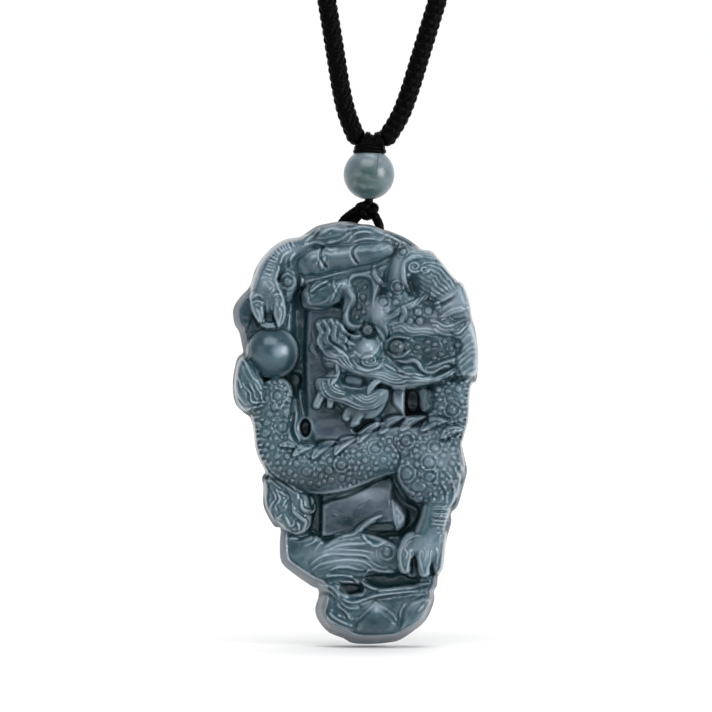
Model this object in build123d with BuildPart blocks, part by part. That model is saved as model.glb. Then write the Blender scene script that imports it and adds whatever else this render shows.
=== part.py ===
from build123d import *
from math import hypot, inf, pi, radians, sin, sqrt, tan
import os

os.makedirs("parts", exist_ok=True)

# A carved jade dragon pendant on a braided neck cord, hanging as it is worn.
# Millimetres. +Z is up, +X is the viewer's right, and the carved front faces -Y.
# The origin is the underside of the neck cord at the top of the loop.

# Neck cord
cord_diameter = 3.1
bead_drop = 282.6

# Bead and the knots above and below it
bead_diameter = 8.0
bead_bore = 1.8
thread_diameter = 1.4
collar_width = 5.0
collar_height = 1.3
collar_depth = 4.4
winding_width = 3.0
winding_height = 2.5
winding_depth = 4.0
winding_shift = 0.4
knot_width = 4.2
knot_height = 2.4
knot_shift = -0.5
knot_gap = 0.45
seat_gap = 0.05

# Thin cord that carries the pendant: its legs, and where its ends enter the knot, from the
# knot's centre
loop_diameter = 1.5
loop_width = 6.2
leg_rise = 0.6
leg_step = 0.2
leg_lean = 0.1
left_entry = 0.9
left_entry_rise = 0.2
right_entry = 1.2
right_entry_rise = 0.4

# Pendant
pendant_width = 38.6
pendant_height = 66.5
pendant_below_bead = 3.4
hang_share = 0.555
back_depth = 5.0
plate_depth = 2.6
relief_rise = 5.4
shallow_depth = 1.2
deep_depth = 3.8
hole_depth = 5.6
widest_depth = 1.8
rim_bevel = 1.1
back_bevel = 1.0
edge_round = 1.0
form_round = 2.3
fin_width = 1.5

# Bore for the thin cord, below the crown, and the two pockets that its legs stand in
bore_diameter = 2.0
bore_below_crown = 2.5
bore_shift = -0.95
bridge_width = 2.8
pocket_width = 2.9
pocket_front = 1.7
pocket_below_bore = 1.2

# How finely the carved front is sampled, across and up, and how much closer its sections
# stand at the foot and the crown
grid_across = 48
grid_up = 88
crowding_share = 0.1

# The neck cord's route, across and up from the origin, chosen by hand: from the binding
# knot up the left strand, round the neck and down the right strand.
neck_route = [
    (-1.45, -277.85), (-2.95, -274.9), (-4.25, -270.4), (-5.5, -262.1), (-8.1, -246.6),
    (-13.9, -218.6), (-23.9, -177.8), (-36.6, -131.5), (-49.0, -88.3), (-56.5, -58.0),
    (-51.5, -27.5), (-29.5, -4.6), (0.0, 3.35), (29.0, -4.3), (50.3, -24.5),
    (56.3, -52.0), (51.6, -80.0), (44.3, -117.7), (34.5, -164.7), (24.0, -208.5),
    (13.3, -247.0), (8.5, -262.6), (6.1, -270.6), (4.3, -274.8), (2.0, -277.9),
]

# Tables of the carving. Across and up are shares of the pendant's width and height, from
# its left edge and its foot. Rise is a share of relief_rise, before the slab's front, and
# sink a share of shallow_depth, deep_depth or hole_depth, behind it.

# The slab's left and right edges from the foot to the crown. Columns: across, up.
left_edge = [
    (0.54, 0.0), (0.449, 0.015), (0.363, 0.045), (0.337, 0.086), (0.35, 0.122), (0.32, 0.139),
    (0.233, 0.175), (0.197, 0.205), (0.19, 0.24), (0.19, 0.27), (0.168, 0.284), (0.127, 0.33),
    (0.121, 0.375), (0.128, 0.405), (0.092, 0.466), (0.08, 0.525), (0.049, 0.546), (0.012, 0.571),
    (0.0, 0.62), (0.015, 0.67), (0.036, 0.69), (0.032, 0.715), (0.01, 0.75), (0.0, 0.783),
    (0.013, 0.808), (0.064, 0.84), (0.087, 0.88), (0.143, 0.928), (0.217, 0.958), (0.277, 0.968),
    (0.345, 0.99), (0.42, 1.0),
]
right_edge = [
    (0.60, 0.0), (0.686, 0.012), (0.764, 0.044), (0.795, 0.066), (0.82, 0.104), (0.833, 0.142),
    (0.859, 0.184), (0.87, 0.245), (0.887, 0.312), (0.932, 0.36), (0.954, 0.408), (0.936, 0.47),
    (0.962, 0.54), (0.97, 0.60), (0.99, 0.635), (1.0, 0.685), (0.988, 0.745), (0.96, 0.814),
    (0.934, 0.854), (0.88, 0.882), (0.82, 0.922), (0.77, 0.936), (0.70, 0.962), (0.61, 0.98),
    (0.56, 0.99), (0.50, 1.0),
]

# The bevel of the front rim, from the foot to the crown. Columns: up, width of the bevel as
# a share of rim_bevel.
rim_bevels = [(0.0, 1.5), (0.1, 1.2), (0.3, 0.9), (0.85, 0.9), (0.95, 0.4), (1.0, 0.3)]

# Sunk fields of the background. Columns: sink, outline.
shallow_fields = [
    (1.0, [(0.27, 0.90), (0.66, 0.90), (0.70, 0.60), (0.66, 0.50), (0.34, 0.47), (0.28, 0.52)]),
    (1.4, [(0.34, 0.39), (0.60, 0.41), (0.69, 0.40), (0.74, 0.33), (0.70, 0.23), (0.36, 0.25)]),
    (1.0, [(0.16, 0.93), (0.27, 0.93), (0.27, 0.79), (0.20, 0.80), (0.19, 0.86)]),
]
deep_fields = [
    (1.0, [(0.255, 0.915), (0.305, 0.90), (0.305, 0.61), (0.285, 0.60), (0.255, 0.62)]),
    (0.9, [(0.12, 0.645), (0.27, 0.64), (0.27, 0.60), (0.21, 0.60), (0.13, 0.62)]),
    (1.0, [(0.70, 0.615), (0.80, 0.63), (0.93, 0.635), (0.89, 0.59), (0.80, 0.55), (0.71, 0.545)]),
    (1.0, [(0.67, 0.365), (0.74, 0.335), (0.77, 0.30), (0.76, 0.25), (0.68, 0.255), (0.66, 0.30)]),
    (0.9, [(0.31, 0.385), (0.375, 0.37), (0.375, 0.27), (0.32, 0.265)]),
    (0.8, [(0.47, 0.545), (0.55, 0.555), (0.61, 0.53), (0.52, 0.50), (0.46, 0.495)]),
    (0.8, [(0.24, 0.27), (0.31, 0.27), (0.33, 0.235), (0.28, 0.225), (0.24, 0.24)]),
    (0.7, [(0.53, 0.17), (0.62, 0.18), (0.74, 0.165), (0.72, 0.135), (0.58, 0.135)]),
]

# Flat blocks that stand in the fields. Columns: sink of the top, outline.
field_blocks = [
    (0.25, [(0.306, 0.80), (0.48, 0.80), (0.48, 0.56), (0.60, 0.55), (0.60, 0.49), (0.32, 0.485)]),
    (0.3, [(0.375, 0.375), (0.50, 0.355), (0.60, 0.39), (0.645, 0.395), (0.665, 0.30),
           (0.62, 0.25), (0.50, 0.26), (0.375, 0.27)]),
]

# Rounded forms. Columns: rise, outline.
rounded_forms = {
    "crown band": (0.26, [(0.28, 0.955), (0.34, 0.985), (0.45, 0.996), (0.55, 0.988),
                          (0.64, 0.968), (0.72, 0.94), (0.66, 0.925), (0.45, 0.935),
                          (0.34, 0.935)]),
    "cloud ring": (0.36, [(0.19, 0.88), (0.215, 0.895), (0.255, 0.885), (0.27, 0.86),
                          (0.24, 0.82), (0.205, 0.81), (0.19, 0.84)]),
    "paw": (0.66, [(0.085, 0.865), (0.13, 0.875), (0.185, 0.865), (0.21, 0.835), (0.205, 0.80),
                   (0.15, 0.785), (0.085, 0.80), (0.07, 0.83)]),
    "left cloud": (0.40, [(0.0, 0.61), (0.015, 0.665), (0.045, 0.683), (0.085, 0.66),
                          (0.125, 0.62), (0.145, 0.58), (0.12, 0.553), (0.07, 0.545),
                          (0.015, 0.572)]),
    "left rim": (0.12, [(0.0, 0.79), (0.02, 0.81), (0.07, 0.84), (0.08, 0.78), (0.05, 0.71),
                        (0.02, 0.74)]),
    "mane": (0.33, [(0.46, 0.87), (0.45, 0.815), (0.455, 0.755), (0.50, 0.74), (0.565, 0.76),
                    (0.60, 0.83), (0.62, 0.885), (0.54, 0.89)]),
    "whiskers": (0.26, [(0.35, 0.77), (0.43, 0.77), (0.48, 0.73), (0.43, 0.67), (0.36, 0.68)]),
    "horn fan": (0.52, [(0.64, 0.90), (0.69, 0.94), (0.78, 0.93), (0.87, 0.88), (0.94, 0.84),
                        (0.97, 0.77), (0.88, 0.745), (0.76, 0.77), (0.67, 0.83)]),
    "forehead": (0.89, [(0.57, 0.79), (0.60, 0.85), (0.68, 0.865), (0.78, 0.835), (0.86, 0.79),
                        (0.85, 0.735), (0.74, 0.72), (0.62, 0.715), (0.565, 0.745)]),
    "cheek": (0.85, [(0.64, 0.74), (0.72, 0.75), (0.84, 0.745), (0.91, 0.715), (0.91, 0.665),
                     (0.84, 0.635), (0.74, 0.625), (0.66, 0.635), (0.62, 0.68)]),
    "snout": (1.0, [(0.40, 0.68), (0.44, 0.705), (0.50, 0.715), (0.56, 0.75), (0.63, 0.745),
                    (0.69, 0.70), (0.69, 0.66), (0.60, 0.64), (0.50, 0.64), (0.42, 0.65)]),
    "lower jaw": (0.78, [(0.345, 0.62), (0.355, 0.575), (0.42, 0.565), (0.50, 0.545),
                         (0.57, 0.555), (0.62, 0.58), (0.63, 0.62), (0.55, 0.635),
                         (0.44, 0.63), (0.38, 0.64)]),
    "ear": (0.56, [(0.905, 0.745), (0.965, 0.755), (0.995, 0.70), (0.985, 0.635), (0.93, 0.635),
                   (0.90, 0.665), (0.89, 0.71)]),
    "shoulder": (0.62, [(0.80, 0.62), (0.88, 0.625), (0.96, 0.605), (0.965, 0.54), (0.93, 0.48),
                        (0.84, 0.48), (0.79, 0.53)]),
    "haunch": (0.81, [(0.66, 0.44), (0.665, 0.395), (0.71, 0.35), (0.77, 0.335), (0.86, 0.35),
                      (0.93, 0.40), (0.93, 0.46), (0.86, 0.495), (0.77, 0.49), (0.69, 0.47)]),
    "foot": (0.62, [(0.68, 0.25), (0.73, 0.275), (0.80, 0.28), (0.86, 0.25), (0.855, 0.21),
                    (0.77, 0.195), (0.69, 0.205)]),
    "lower cloud": (0.42, [(0.125, 0.385), (0.20, 0.40), (0.27, 0.378), (0.315, 0.335),
                           (0.315, 0.28), (0.26, 0.26), (0.19, 0.285), (0.14, 0.325)]),
    "wave hill": (0.12, [(0.31, 0.19), (0.36, 0.235), (0.46, 0.26), (0.58, 0.255), (0.67, 0.23),
                         (0.67, 0.18), (0.55, 0.165), (0.40, 0.155), (0.34, 0.155)]),
    "left petal": (0.28, [(0.365, 0.06), (0.37, 0.10), (0.43, 0.115), (0.49, 0.08),
                          (0.485, 0.04), (0.42, 0.03)]),
    "middle petal": (0.36, [(0.49, 0.06), (0.53, 0.095), (0.575, 0.112), (0.63, 0.09),
                            (0.665, 0.06), (0.62, 0.02), (0.53, 0.018)]),
    "right petal": (0.28, [(0.66, 0.075), (0.68, 0.11), (0.74, 0.128), (0.79, 0.118),
                           (0.775, 0.07), (0.71, 0.04)]),
}

# Round limbs. Columns: across, up, rise of the crest, radius as a share of the width.
round_limbs = {
    "arm": [(0.33, 0.955, 0.20, 0.02), (0.285, 0.945, 0.40, 0.038), (0.225, 0.93, 0.54, 0.046),
            (0.165, 0.90, 0.58, 0.048), (0.135, 0.865, 0.58, 0.046), (0.14, 0.83, 0.55, 0.03)],
    "left claw": [(0.095, 0.82, 0.58, 0.02), (0.10, 0.79, 0.70, 0.021), (0.112, 0.762, 0.66, 0.008)],
    "right claw": [(0.185, 0.82, 0.58, 0.02), (0.19, 0.79, 0.70, 0.021), (0.184, 0.75, 0.66, 0.008)],
    "upper roll": [(0.275, 0.90, 0.40, 0.02), (0.325, 0.90, 0.56, 0.058), (0.38, 0.905, 0.52, 0.046),
                   (0.435, 0.91, 0.58, 0.056), (0.49, 0.913, 0.50, 0.043), (0.55, 0.913, 0.54, 0.043),
                   (0.60, 0.918, 0.5, 0.038), (0.655, 0.928, 0.36, 0.02)],
    "lower roll": [(0.28, 0.825, 0.22, 0.025), (0.325, 0.828, 0.36, 0.052), (0.39, 0.83, 0.37, 0.052),
                   (0.45, 0.838, 0.3, 0.036), (0.48, 0.85, 0.15, 0.015)],
    "leg": [(0.90, 0.40, 0.5, 0.035), (0.885, 0.35, 0.66, 0.05), (0.85, 0.31, 0.68, 0.048),
            (0.815, 0.275, 0.66, 0.045), (0.79, 0.235, 0.66, 0.05), (0.77, 0.215, 0.6, 0.03)],
    "inner toe": [(0.74, 0.25, 0.58, 0.03), (0.715, 0.22, 0.70, 0.037), (0.70, 0.19, 0.66, 0.03),
                  (0.703, 0.168, 0.56, 0.012)],
    "middle toe": [(0.80, 0.245, 0.56, 0.03), (0.79, 0.21, 0.68, 0.033), (0.78, 0.18, 0.62, 0.027),
                   (0.782, 0.158, 0.52, 0.012)],
    "outer toe": [(0.84, 0.245, 0.5, 0.025), (0.838, 0.205, 0.56, 0.025), (0.832, 0.166, 0.5, 0.01)],
    "upper wave": [(0.33, 0.195, 0.10, 0.012), (0.42, 0.235, 0.28, 0.026), (0.52, 0.247, 0.3, 0.028),
                   (0.60, 0.238, 0.26, 0.024), (0.67, 0.222, 0.08, 0.012)],
    "wave lip": [(0.47, 0.257, 0.14, 0.014), (0.51, 0.268, 0.26, 0.022), (0.56, 0.293, 0.3, 0.022),
                 (0.62, 0.308, 0.14, 0.012)],
    "lower wave": [(0.31, 0.172, 0.08, 0.012), (0.42, 0.19, 0.26, 0.024), (0.53, 0.188, 0.28, 0.026),
                   (0.64, 0.175, 0.1, 0.012)],
    "foot wave": [(0.36, 0.145, 0.1, 0.014), (0.42, 0.13, 0.28, 0.026), (0.46, 0.10, 0.26, 0.024),
                  (0.49, 0.075, 0.1, 0.012)],
    "foam ridge": [(0.52, 0.103, 0.14, 0.012), (0.60, 0.117, 0.26, 0.02), (0.69, 0.128, 0.26, 0.02),
                   (0.77, 0.133, 0.1, 0.012)],
    "beard lock": [(0.385, 0.565, 0.5, 0.02), (0.44, 0.558, 0.56, 0.028), (0.50, 0.54, 0.5, 0.026),
                   (0.57, 0.535, 0.3, 0.012)],
    "body": [(0.905, 0.60, 0.62, 0.085), (0.875, 0.50, 0.66, 0.09), (0.80, 0.463, 0.67, 0.093),
             (0.68, 0.46, 0.67, 0.094), (0.57, 0.447, 0.67, 0.094), (0.46, 0.42, 0.67, 0.094),
             (0.36, 0.41, 0.67, 0.094), (0.275, 0.418, 0.67, 0.092), (0.20, 0.44, 0.66, 0.09),
             (0.16, 0.48, 0.66, 0.084), (0.15, 0.53, 0.66, 0.08), (0.18, 0.60, 0.62, 0.065)],
}

# Fins along the body. Columns: across and up of the root, across and up of the tip, rise.
body_fins = [
    (0.865, 0.50, 0.92, 0.485, 0.62), (0.775, 0.512, 0.865, 0.522, 0.62),
    (0.70, 0.515, 0.78, 0.535, 0.60), (0.61, 0.512, 0.70, 0.535, 0.58),
    (0.525, 0.493, 0.605, 0.52, 0.56), (0.43, 0.463, 0.50, 0.49, 0.54),
    (0.345, 0.456, 0.425, 0.478, 0.54), (0.26, 0.456, 0.325, 0.468, 0.54),
]

# The pearl, the eyes and the round studs on the hide.
# Columns: across, up, rise of the crest, radius as a share of the width.
round_studs = [
    (0.159, 0.69, 0.69, 0.102), (0.665, 0.703, 0.94, 0.031), (0.55, 0.738, 0.86, 0.02),
    (0.443, 0.428, 0.74, 0.028), (0.392, 0.414, 0.70, 0.019), (0.302, 0.411, 0.71, 0.021),
    (0.58, 0.466, 0.70, 0.025), (0.706, 0.485, 0.70, 0.027), (0.82, 0.468, 0.86, 0.025),
    (0.186, 0.589, 0.68, 0.028), (0.204, 0.515, 0.60, 0.025), (0.173, 0.562, 0.71, 0.02),
    (0.135, 0.506, 0.72, 0.021), (0.796, 0.432, 0.88, 0.027), (0.706, 0.406, 0.84, 0.032),
    (0.886, 0.558, 0.69, 0.025), (0.753, 0.783, 0.95, 0.024), (0.829, 0.798, 0.85, 0.021),
    (0.612, 0.809, 0.92, 0.019), (0.67, 0.838, 0.90, 0.018), (0.716, 0.762, 0.95, 0.019),
    (0.633, 0.219, 0.34, 0.027),
]

# Blind holes between the forms. Columns: across, up, half width and half height as shares of
# the pendant's width, sink.
blind_holes = [
    (0.73, 0.577, 0.03, 0.05, 1.0), (0.296, 0.512, 0.02, 0.035, 1.0),
    (0.318, 0.338, 0.028, 0.028, 0.9), (0.478, 0.132, 0.042, 0.02, 0.8),
    (0.49, 0.633, 0.06, 0.022, -0.35),
]

bead_z = -bead_drop
pendant_crown = bead_z - bead_diameter / 2 - pendant_below_bead
pendant_foot = pendant_crown - pendant_height
pendant_left = -hang_share * pendant_width
bore_z = pendant_crown - bore_below_crown
knot_z = bead_z - bead_diameter / 2 - knot_gap - knot_height / 2


def across(share):
    """The x of a share of the pendant's width."""
    return pendant_left + share * pendant_width


def up(share):
    """The z of a share of the pendant's height."""
    return pendant_foot + share * pendant_height


def share_up(z):
    """The share of the pendant's height at a z."""
    return (z - pendant_foot) / pendant_height


def placed(outline):
    """An outline's points, across and up, in millimetres."""
    return [(across(a), up(b)) for a, b in outline]


def bend_radii(route):
    """The arc at each inner point of a route: as large as its two runs allow."""
    radii = []
    for before, here, after in zip(route, route[1:], route[2:]):
        run_in = Vector(*here) - Vector(*before)
        run_out = Vector(*after) - Vector(*here)
        half_turn = radians(run_in.get_angle(run_out)) / 2
        radii.append(0.45 * min(run_in.length, run_out.length) / tan(half_turn))
    return radii


def cord_path(name, route):
    """A cord's path in the upright plane: straight runs and tangent arcs."""
    radii = bend_radii(route)
    with BuildLine(Plane.XZ) as path:
        FilletPolyline(*route, radius=radii)
    print(name, "length", round(path.wire().length, 1), "radii", [round(r, 1) for r in radii])
    return path.wire()


def tube(path, diameter):
    """Sweep a round section along a path."""
    with BuildSketch(Plane(path @ 0, z_dir=path % 0)) as section:
        Circle(diameter / 2)
    sweep(section.sketch, path=path)


def inside_distance(x, z, outline):
    """How far a point lies inside a closed outline, and below zero outside it."""
    nearest = inf
    inside = False
    for (x0, z0), (x1, z1) in zip(outline, outline[1:] + outline[:1]):
        run_x, run_z = x1 - x0, z1 - z0
        share = ((x - x0) * run_x + (z - z0) * run_z) / (run_x ** 2 + run_z ** 2)
        share = min(max(share, 0), 1)
        nearest = min(nearest, hypot(x - x0 - share * run_x, z - z0 - share * run_z))
        if (z0 > z) != (z1 > z) and x < x0 + (z - z0) * run_x / run_z:
            inside = not inside
    return nearest if inside else -nearest


def swell(distance, reach):
    """A quarter-round profile: 0 at the edge and 1 from the reach inwards."""
    return sqrt(1 - (1 - min(distance / reach, 1)) ** 2)


def limb_height(x, z, stations):
    """The height of a round limb over a point, or below everything beside it."""
    best = -inf
    for (x0, z0, crest0, r0), (x1, z1, crest1, r1) in zip(stations, stations[1:]):
        run_x, run_z = x1 - x0, z1 - z0
        share = ((x - x0) * run_x + (z - z0) * run_z) / (run_x ** 2 + run_z ** 2)
        share = min(max(share, 0), 1)
        radius = r0 + share * (r1 - r0)
        off = hypot(x - x0 - share * run_x, z - z0 - share * run_z)
        if off < radius:
            centre = crest0 + share * (crest1 - crest0) - radius
            best = max(best, centre + sqrt(radius ** 2 - off ** 2))
    return best


def level(table, up_share):
    """The value of a table of rows (value, up) at one height."""
    for (value0, up0), (value1, up1) in zip(table, table[1:]):
        if up_share <= up1:
            return value0 + (value1 - value0) * (up_share - up0) / (up1 - up0)
    return table[-1][0]


def fin_outline(root_across, root_up, tip_across, tip_up):
    """The leaf-shaped outline of a fin that leans along the body."""
    root = Vector(across(root_across), up(root_up))
    tip = Vector(across(tip_across), up(tip_up))
    lean = (tip - root).normalized()
    foot = (root + tip) / 2 + Vector(lean.Y, -lean.X) * fin_width
    back = root + Vector(lean.Y, -lean.X) * fin_width / 2
    return [(point.X, point.Y) for point in (root, tip, foot, back)]


# The carving in millimetres: heights are measured forward from the slab's front.
slab_outline = placed(left_edge) + placed(right_edge)[::-1]
sunk_fields = [(sink * shallow_depth, placed(outline)) for sink, outline in shallow_fields]
sunk_fields += [(sink * deep_depth, placed(outline)) for sink, outline in deep_fields]
raised_blocks = [(sink * shallow_depth, placed(outline)) for sink, outline in field_blocks]
raised_forms = [(rise * relief_rise, placed(outline)) for rise, outline in rounded_forms.values()]
raised_fins = [(row[4] * relief_rise, fin_outline(*row[:4])) for row in body_fins]
raised_limbs = []
for stations in round_limbs.values():
    raised_limbs.append([(across(a), up(b), rise * relief_rise, radius * pendant_width)
                         for a, b, rise, radius in stations])
raised_studs = [(across(a), up(b), rise * relief_rise, radius * pendant_width)
                for a, b, rise, radius in round_studs]
drilled_holes = [(across(a), up(b), wide * pendant_width, high * pendant_width,
                  sink * hole_depth) for a, b, wide, high, sink in blind_holes]


def carving_height(x, z):
    """The height of the carved front over a point, forward from the slab's front."""
    height = 0
    for depth, outline in sunk_fields:
        height = min(height, -depth * swell(max(inside_distance(x, z, outline), 0), edge_round))
    for depth, outline in raised_blocks:
        if inside_distance(x, z, outline) > 0:
            height = max(height, -depth)
    ground = height
    for rise, outline in raised_forms:
        distance = inside_distance(x, z, outline)
        if distance > 0:
            height = max(height, ground + (rise - ground) * swell(distance, form_round))
    for rise, outline in raised_fins:
        distance = inside_distance(x, z, outline)
        if distance > 0:
            height = max(height, ground + (rise - ground) * swell(distance, fin_width / 3))
    for stations in raised_limbs:
        height = max(height, limb_height(x, z, stations))
    for centre_x, centre_z, crest, radius in raised_studs:
        off = hypot(x - centre_x, z - centre_z)
        if off < radius:
            height = max(height, crest - radius + sqrt(radius ** 2 - off ** 2))
    for centre_x, centre_z, wide, high, depth in drilled_holes:
        if hypot((x - centre_x) / wide, (z - centre_z) / high) < 1:
            height = min(height, -depth)
    return height


def rim_drop(x, z):
    """How far the front rim's bevel brings the surface back at a point."""
    bevel = rim_bevel * level([(width, b) for b, width in rim_bevels], share_up(z))
    inside = max(inside_distance(x, z, slab_outline), 0)
    return (plate_depth + widest_depth) * (1 - min(inside / bevel, 1))


def softened(heights):
    """Average each height with its neighbours, so that the surface has no steps."""
    last_row, last_column = len(heights) - 1, len(heights[0]) - 1
    result = []
    for row, line in enumerate(heights):
        above, below = heights[min(row + 1, last_row)], heights[max(row - 1, 0)]
        result.append([(4 * line[i] + 2 * line[max(i - 1, 0)] + 2 * line[min(i + 1, last_column)]
                        + 2 * above[i] + 2 * below[i]) / 12 for i in range(len(line))])
    return result


def slab_levels():
    """The heights of the slab's sections, closer together at its foot and crown."""
    steps = [index / (grid_up - 1) for index in range(grid_up)]
    return [step - sin(2 * pi * step) * crowding_share for step in steps]


def slab_section(z, xs, ys):
    """One level section of the pendant: carved front, rim and polished back."""
    parameters = [index / (len(xs) - 1) for index in range(len(xs))]
    left, right = xs[0], xs[-1]
    rim_y = back_depth - back_bevel
    with BuildSketch(Plane.XY.offset(z)) as section:
        with BuildLine():
            add(Edge.make_spline([Vector(x, y) for x, y in zip(xs, ys)], parameters=parameters))
            Polyline((right, ys[-1]), (right, rim_y), (right - back_bevel, back_depth),
                     (left + back_bevel, back_depth), (left, rim_y), (left, ys[0]))
        make_face()
    return section.sketch


def slab_sections():
    """The level sections of the whole pendant, from its foot to its crown."""
    rows = []
    for b in slab_levels():
        left, right = across(level(left_edge, b)), across(level(right_edge, b))
        rows.append([left + (right - left) * i / (grid_across - 1) for i in range(grid_across)])
    zs = [up(b) for b in slab_levels()]
    heights = softened([[carving_height(x, z) for x in xs] for xs, z in zip(rows, zs)])
    sections = []
    for xs, z, line in zip(rows, zs, heights):
        drops = [rim_drop(x, z) for x in xs]
        ys = [drop - plate_depth - height * (1 - drop / (plate_depth + widest_depth))
              for drop, height in zip(drops, line)]
        sections.append(slab_section(z, xs, ys))
    return sections


neck_path = cord_path("neck_cord", neck_route)

with BuildPart() as neck_cord:
    tube(neck_path, cord_diameter)

with BuildPart() as cord_socket:
    tube(neck_path, cord_diameter + 2 * seat_gap)

# The knot that binds the two ends of the neck cord: a collar that hugs the bead, and
# windings that stand between the strands.
collar_foot = bead_z + bead_diameter / 2 - collar_height / 2
with BuildPart() as binding_knot:
    with BuildSketch(Plane.XY.offset(collar_foot)):
        with Locations((winding_shift / 2, 0)):
            Ellipse(collar_width / 2, collar_depth / 2)
    extrude(amount=collar_height)
    with BuildSketch(Plane.XY.offset(collar_foot + collar_height)):
        with Locations((winding_shift, 0)):
            Ellipse(winding_width / 2, winding_depth / 2)
    extrude(amount=winding_height)
    add(cord_socket.part, mode=Mode.SUBTRACT)
    with Locations((0, 0, bead_z)):
        Sphere(bead_diameter / 2 + seat_gap, mode=Mode.SUBTRACT)

with BuildPart() as jade_bead:
    with Locations((0, 0, bead_z)):
        Sphere(bead_diameter / 2)
        Cylinder(bead_bore / 2, bead_diameter, mode=Mode.SUBTRACT)

# The thin cord's route: out of the knot, down the left pocket, through the bore and up the
# right pocket into the knot.
leg_top = pendant_crown + leg_rise
left_leg = bore_shift - loop_width / 2
right_leg = bore_shift + loop_width / 2
loop_route = [
    (knot_shift - left_entry, knot_z + left_entry_rise), (left_leg - leg_lean, leg_top),
    (left_leg, bore_z), (right_leg, bore_z), (right_leg + leg_lean, leg_top - leg_step),
    (knot_shift + right_entry, knot_z + right_entry_rise),
]
loop_path = cord_path("hanging_loop", loop_route)

with BuildPart() as hanging_loop:
    tube(loop_path, loop_diameter)

with BuildPart() as loop_socket:
    tube(loop_path, loop_diameter + 2 * seat_gap)

# The knot below the bead, with the thread that runs up through the bead's bore.
with BuildPart() as loop_knot:
    with BuildSketch(Plane.XZ):
        with Locations((knot_shift, knot_z)):
            Ellipse(knot_width / 2, knot_height / 2)
        with Locations((knot_shift, knot_z - knot_height / 2)):
            Rectangle(knot_width, knot_height, mode=Mode.SUBTRACT)
    revolve(axis=Axis((0, 0, knot_z), (1, 0, 0)))
    with BuildSketch(Plane.XY.offset(knot_z)):
        Circle(thread_diameter / 2)
    extrude(amount=collar_foot - knot_z + collar_height / 4)
    add(loop_socket.part, mode=Mode.SUBTRACT)

with BuildPart() as jade_pendant:
    loft(slab_sections(), ruled=True)
    with Locations(Location((bore_shift, 0, bore_z), (0, 90, 0))):
        Cylinder(bore_diameter / 2, bridge_width * 2, mode=Mode.SUBTRACT)
    pocket_x = bore_shift + (bridge_width + pocket_width) / 2
    pocket_depth = back_depth + pocket_front
    with Locations((pocket_x, -pocket_front, bore_z - pocket_below_bore),
                   (2 * bore_shift - pocket_x, -pocket_front, bore_z - pocket_below_bore)):
        Box(pocket_width, 2 * pocket_depth, 2 * bore_below_crown + pocket_below_bore,
            align=(Align.CENTER, Align.MIN, Align.MIN), mode=Mode.SUBTRACT)

for name, piece in (("neck_cord", neck_cord), ("binding_knot", binding_knot),
                    ("jade_bead", jade_bead), ("hanging_loop", hanging_loop),
                    ("loop_knot", loop_knot), ("jade_pendant", jade_pendant)):
    piece.part.label = name
    export_step(piece.part, f"parts/{name}.step")
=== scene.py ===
import math

import bpy
import numpy as np
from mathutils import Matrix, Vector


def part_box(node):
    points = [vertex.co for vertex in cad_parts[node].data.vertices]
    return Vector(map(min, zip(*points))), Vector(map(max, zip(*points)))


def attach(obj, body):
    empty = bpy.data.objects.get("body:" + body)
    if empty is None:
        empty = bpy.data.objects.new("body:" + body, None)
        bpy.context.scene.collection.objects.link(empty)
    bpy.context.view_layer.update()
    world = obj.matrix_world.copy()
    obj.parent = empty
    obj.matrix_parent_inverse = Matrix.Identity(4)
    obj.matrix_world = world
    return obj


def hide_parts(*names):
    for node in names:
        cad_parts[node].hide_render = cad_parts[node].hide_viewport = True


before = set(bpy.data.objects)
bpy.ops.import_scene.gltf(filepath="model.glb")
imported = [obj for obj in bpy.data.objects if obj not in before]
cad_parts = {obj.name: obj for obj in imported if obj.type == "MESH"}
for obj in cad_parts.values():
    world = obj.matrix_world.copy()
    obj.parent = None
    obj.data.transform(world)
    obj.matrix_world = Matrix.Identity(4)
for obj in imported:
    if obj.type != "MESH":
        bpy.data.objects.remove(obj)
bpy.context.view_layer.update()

# A carved jade dragon pendant on a braided black neck cord.
# Metres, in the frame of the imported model. The front faces -Y.

MM = 0.001

# The carving is drawn in pixels of the photograph, x to the right and y down. Its heights and
# depths are in the same pixels, forward and back from the slab's front.
PHOTO_LEFT, PHOTO_RIGHT = 233.0, 478.0
PHOTO_CROWN, PHOTO_FOOT = 221.5, 643.5
pendant_low, pendant_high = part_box("jade_pendant")
bead_low, bead_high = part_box("jade_bead")
bead_centre = (bead_low + bead_high) / 2
bead_radius = (bead_high.x - bead_low.x) / 2
PIXEL = (pendant_high.x - pendant_low.x) / (PHOTO_RIGHT - PHOTO_LEFT)
SLAB_FRONT_SHARE = 0.415
slab_front = pendant_low.y + SLAB_FRONT_SHARE * (pendant_high.y - pendant_low.y)

# The grid of heights, and the points along the smooth lines on it.
GRID_STEP = 0.6
GRID_MARGIN = 2
LINE_SPACING = 1.6
OUTLINE_SPACING = 2.5

# The slab. Its rim falls back by the slope for each pixel of the rim's width, and the lip is a
# cut along the rim's inner edge: depth, distance from the rim, half width. Directions from the
# middle are measured as if the slab were less tall by its tallness. The back is rounded along
# its edge and stands out a little in the middle, each by a width or reach and a depth or rise.
PENDANT_TRIANGLES = 190000
WALL_ROWS = 8
RIM_SLOPE = 1.1
RIM_LIP = (1.6, 1.2, 1.8)
SLAB_TALLNESS = 1.6
BACK_ROUND, BACK_ROUND_DEPTH = 9.0, 6.3
BACK_DOME_REACH, BACK_DOME = 110, 1.5

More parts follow.
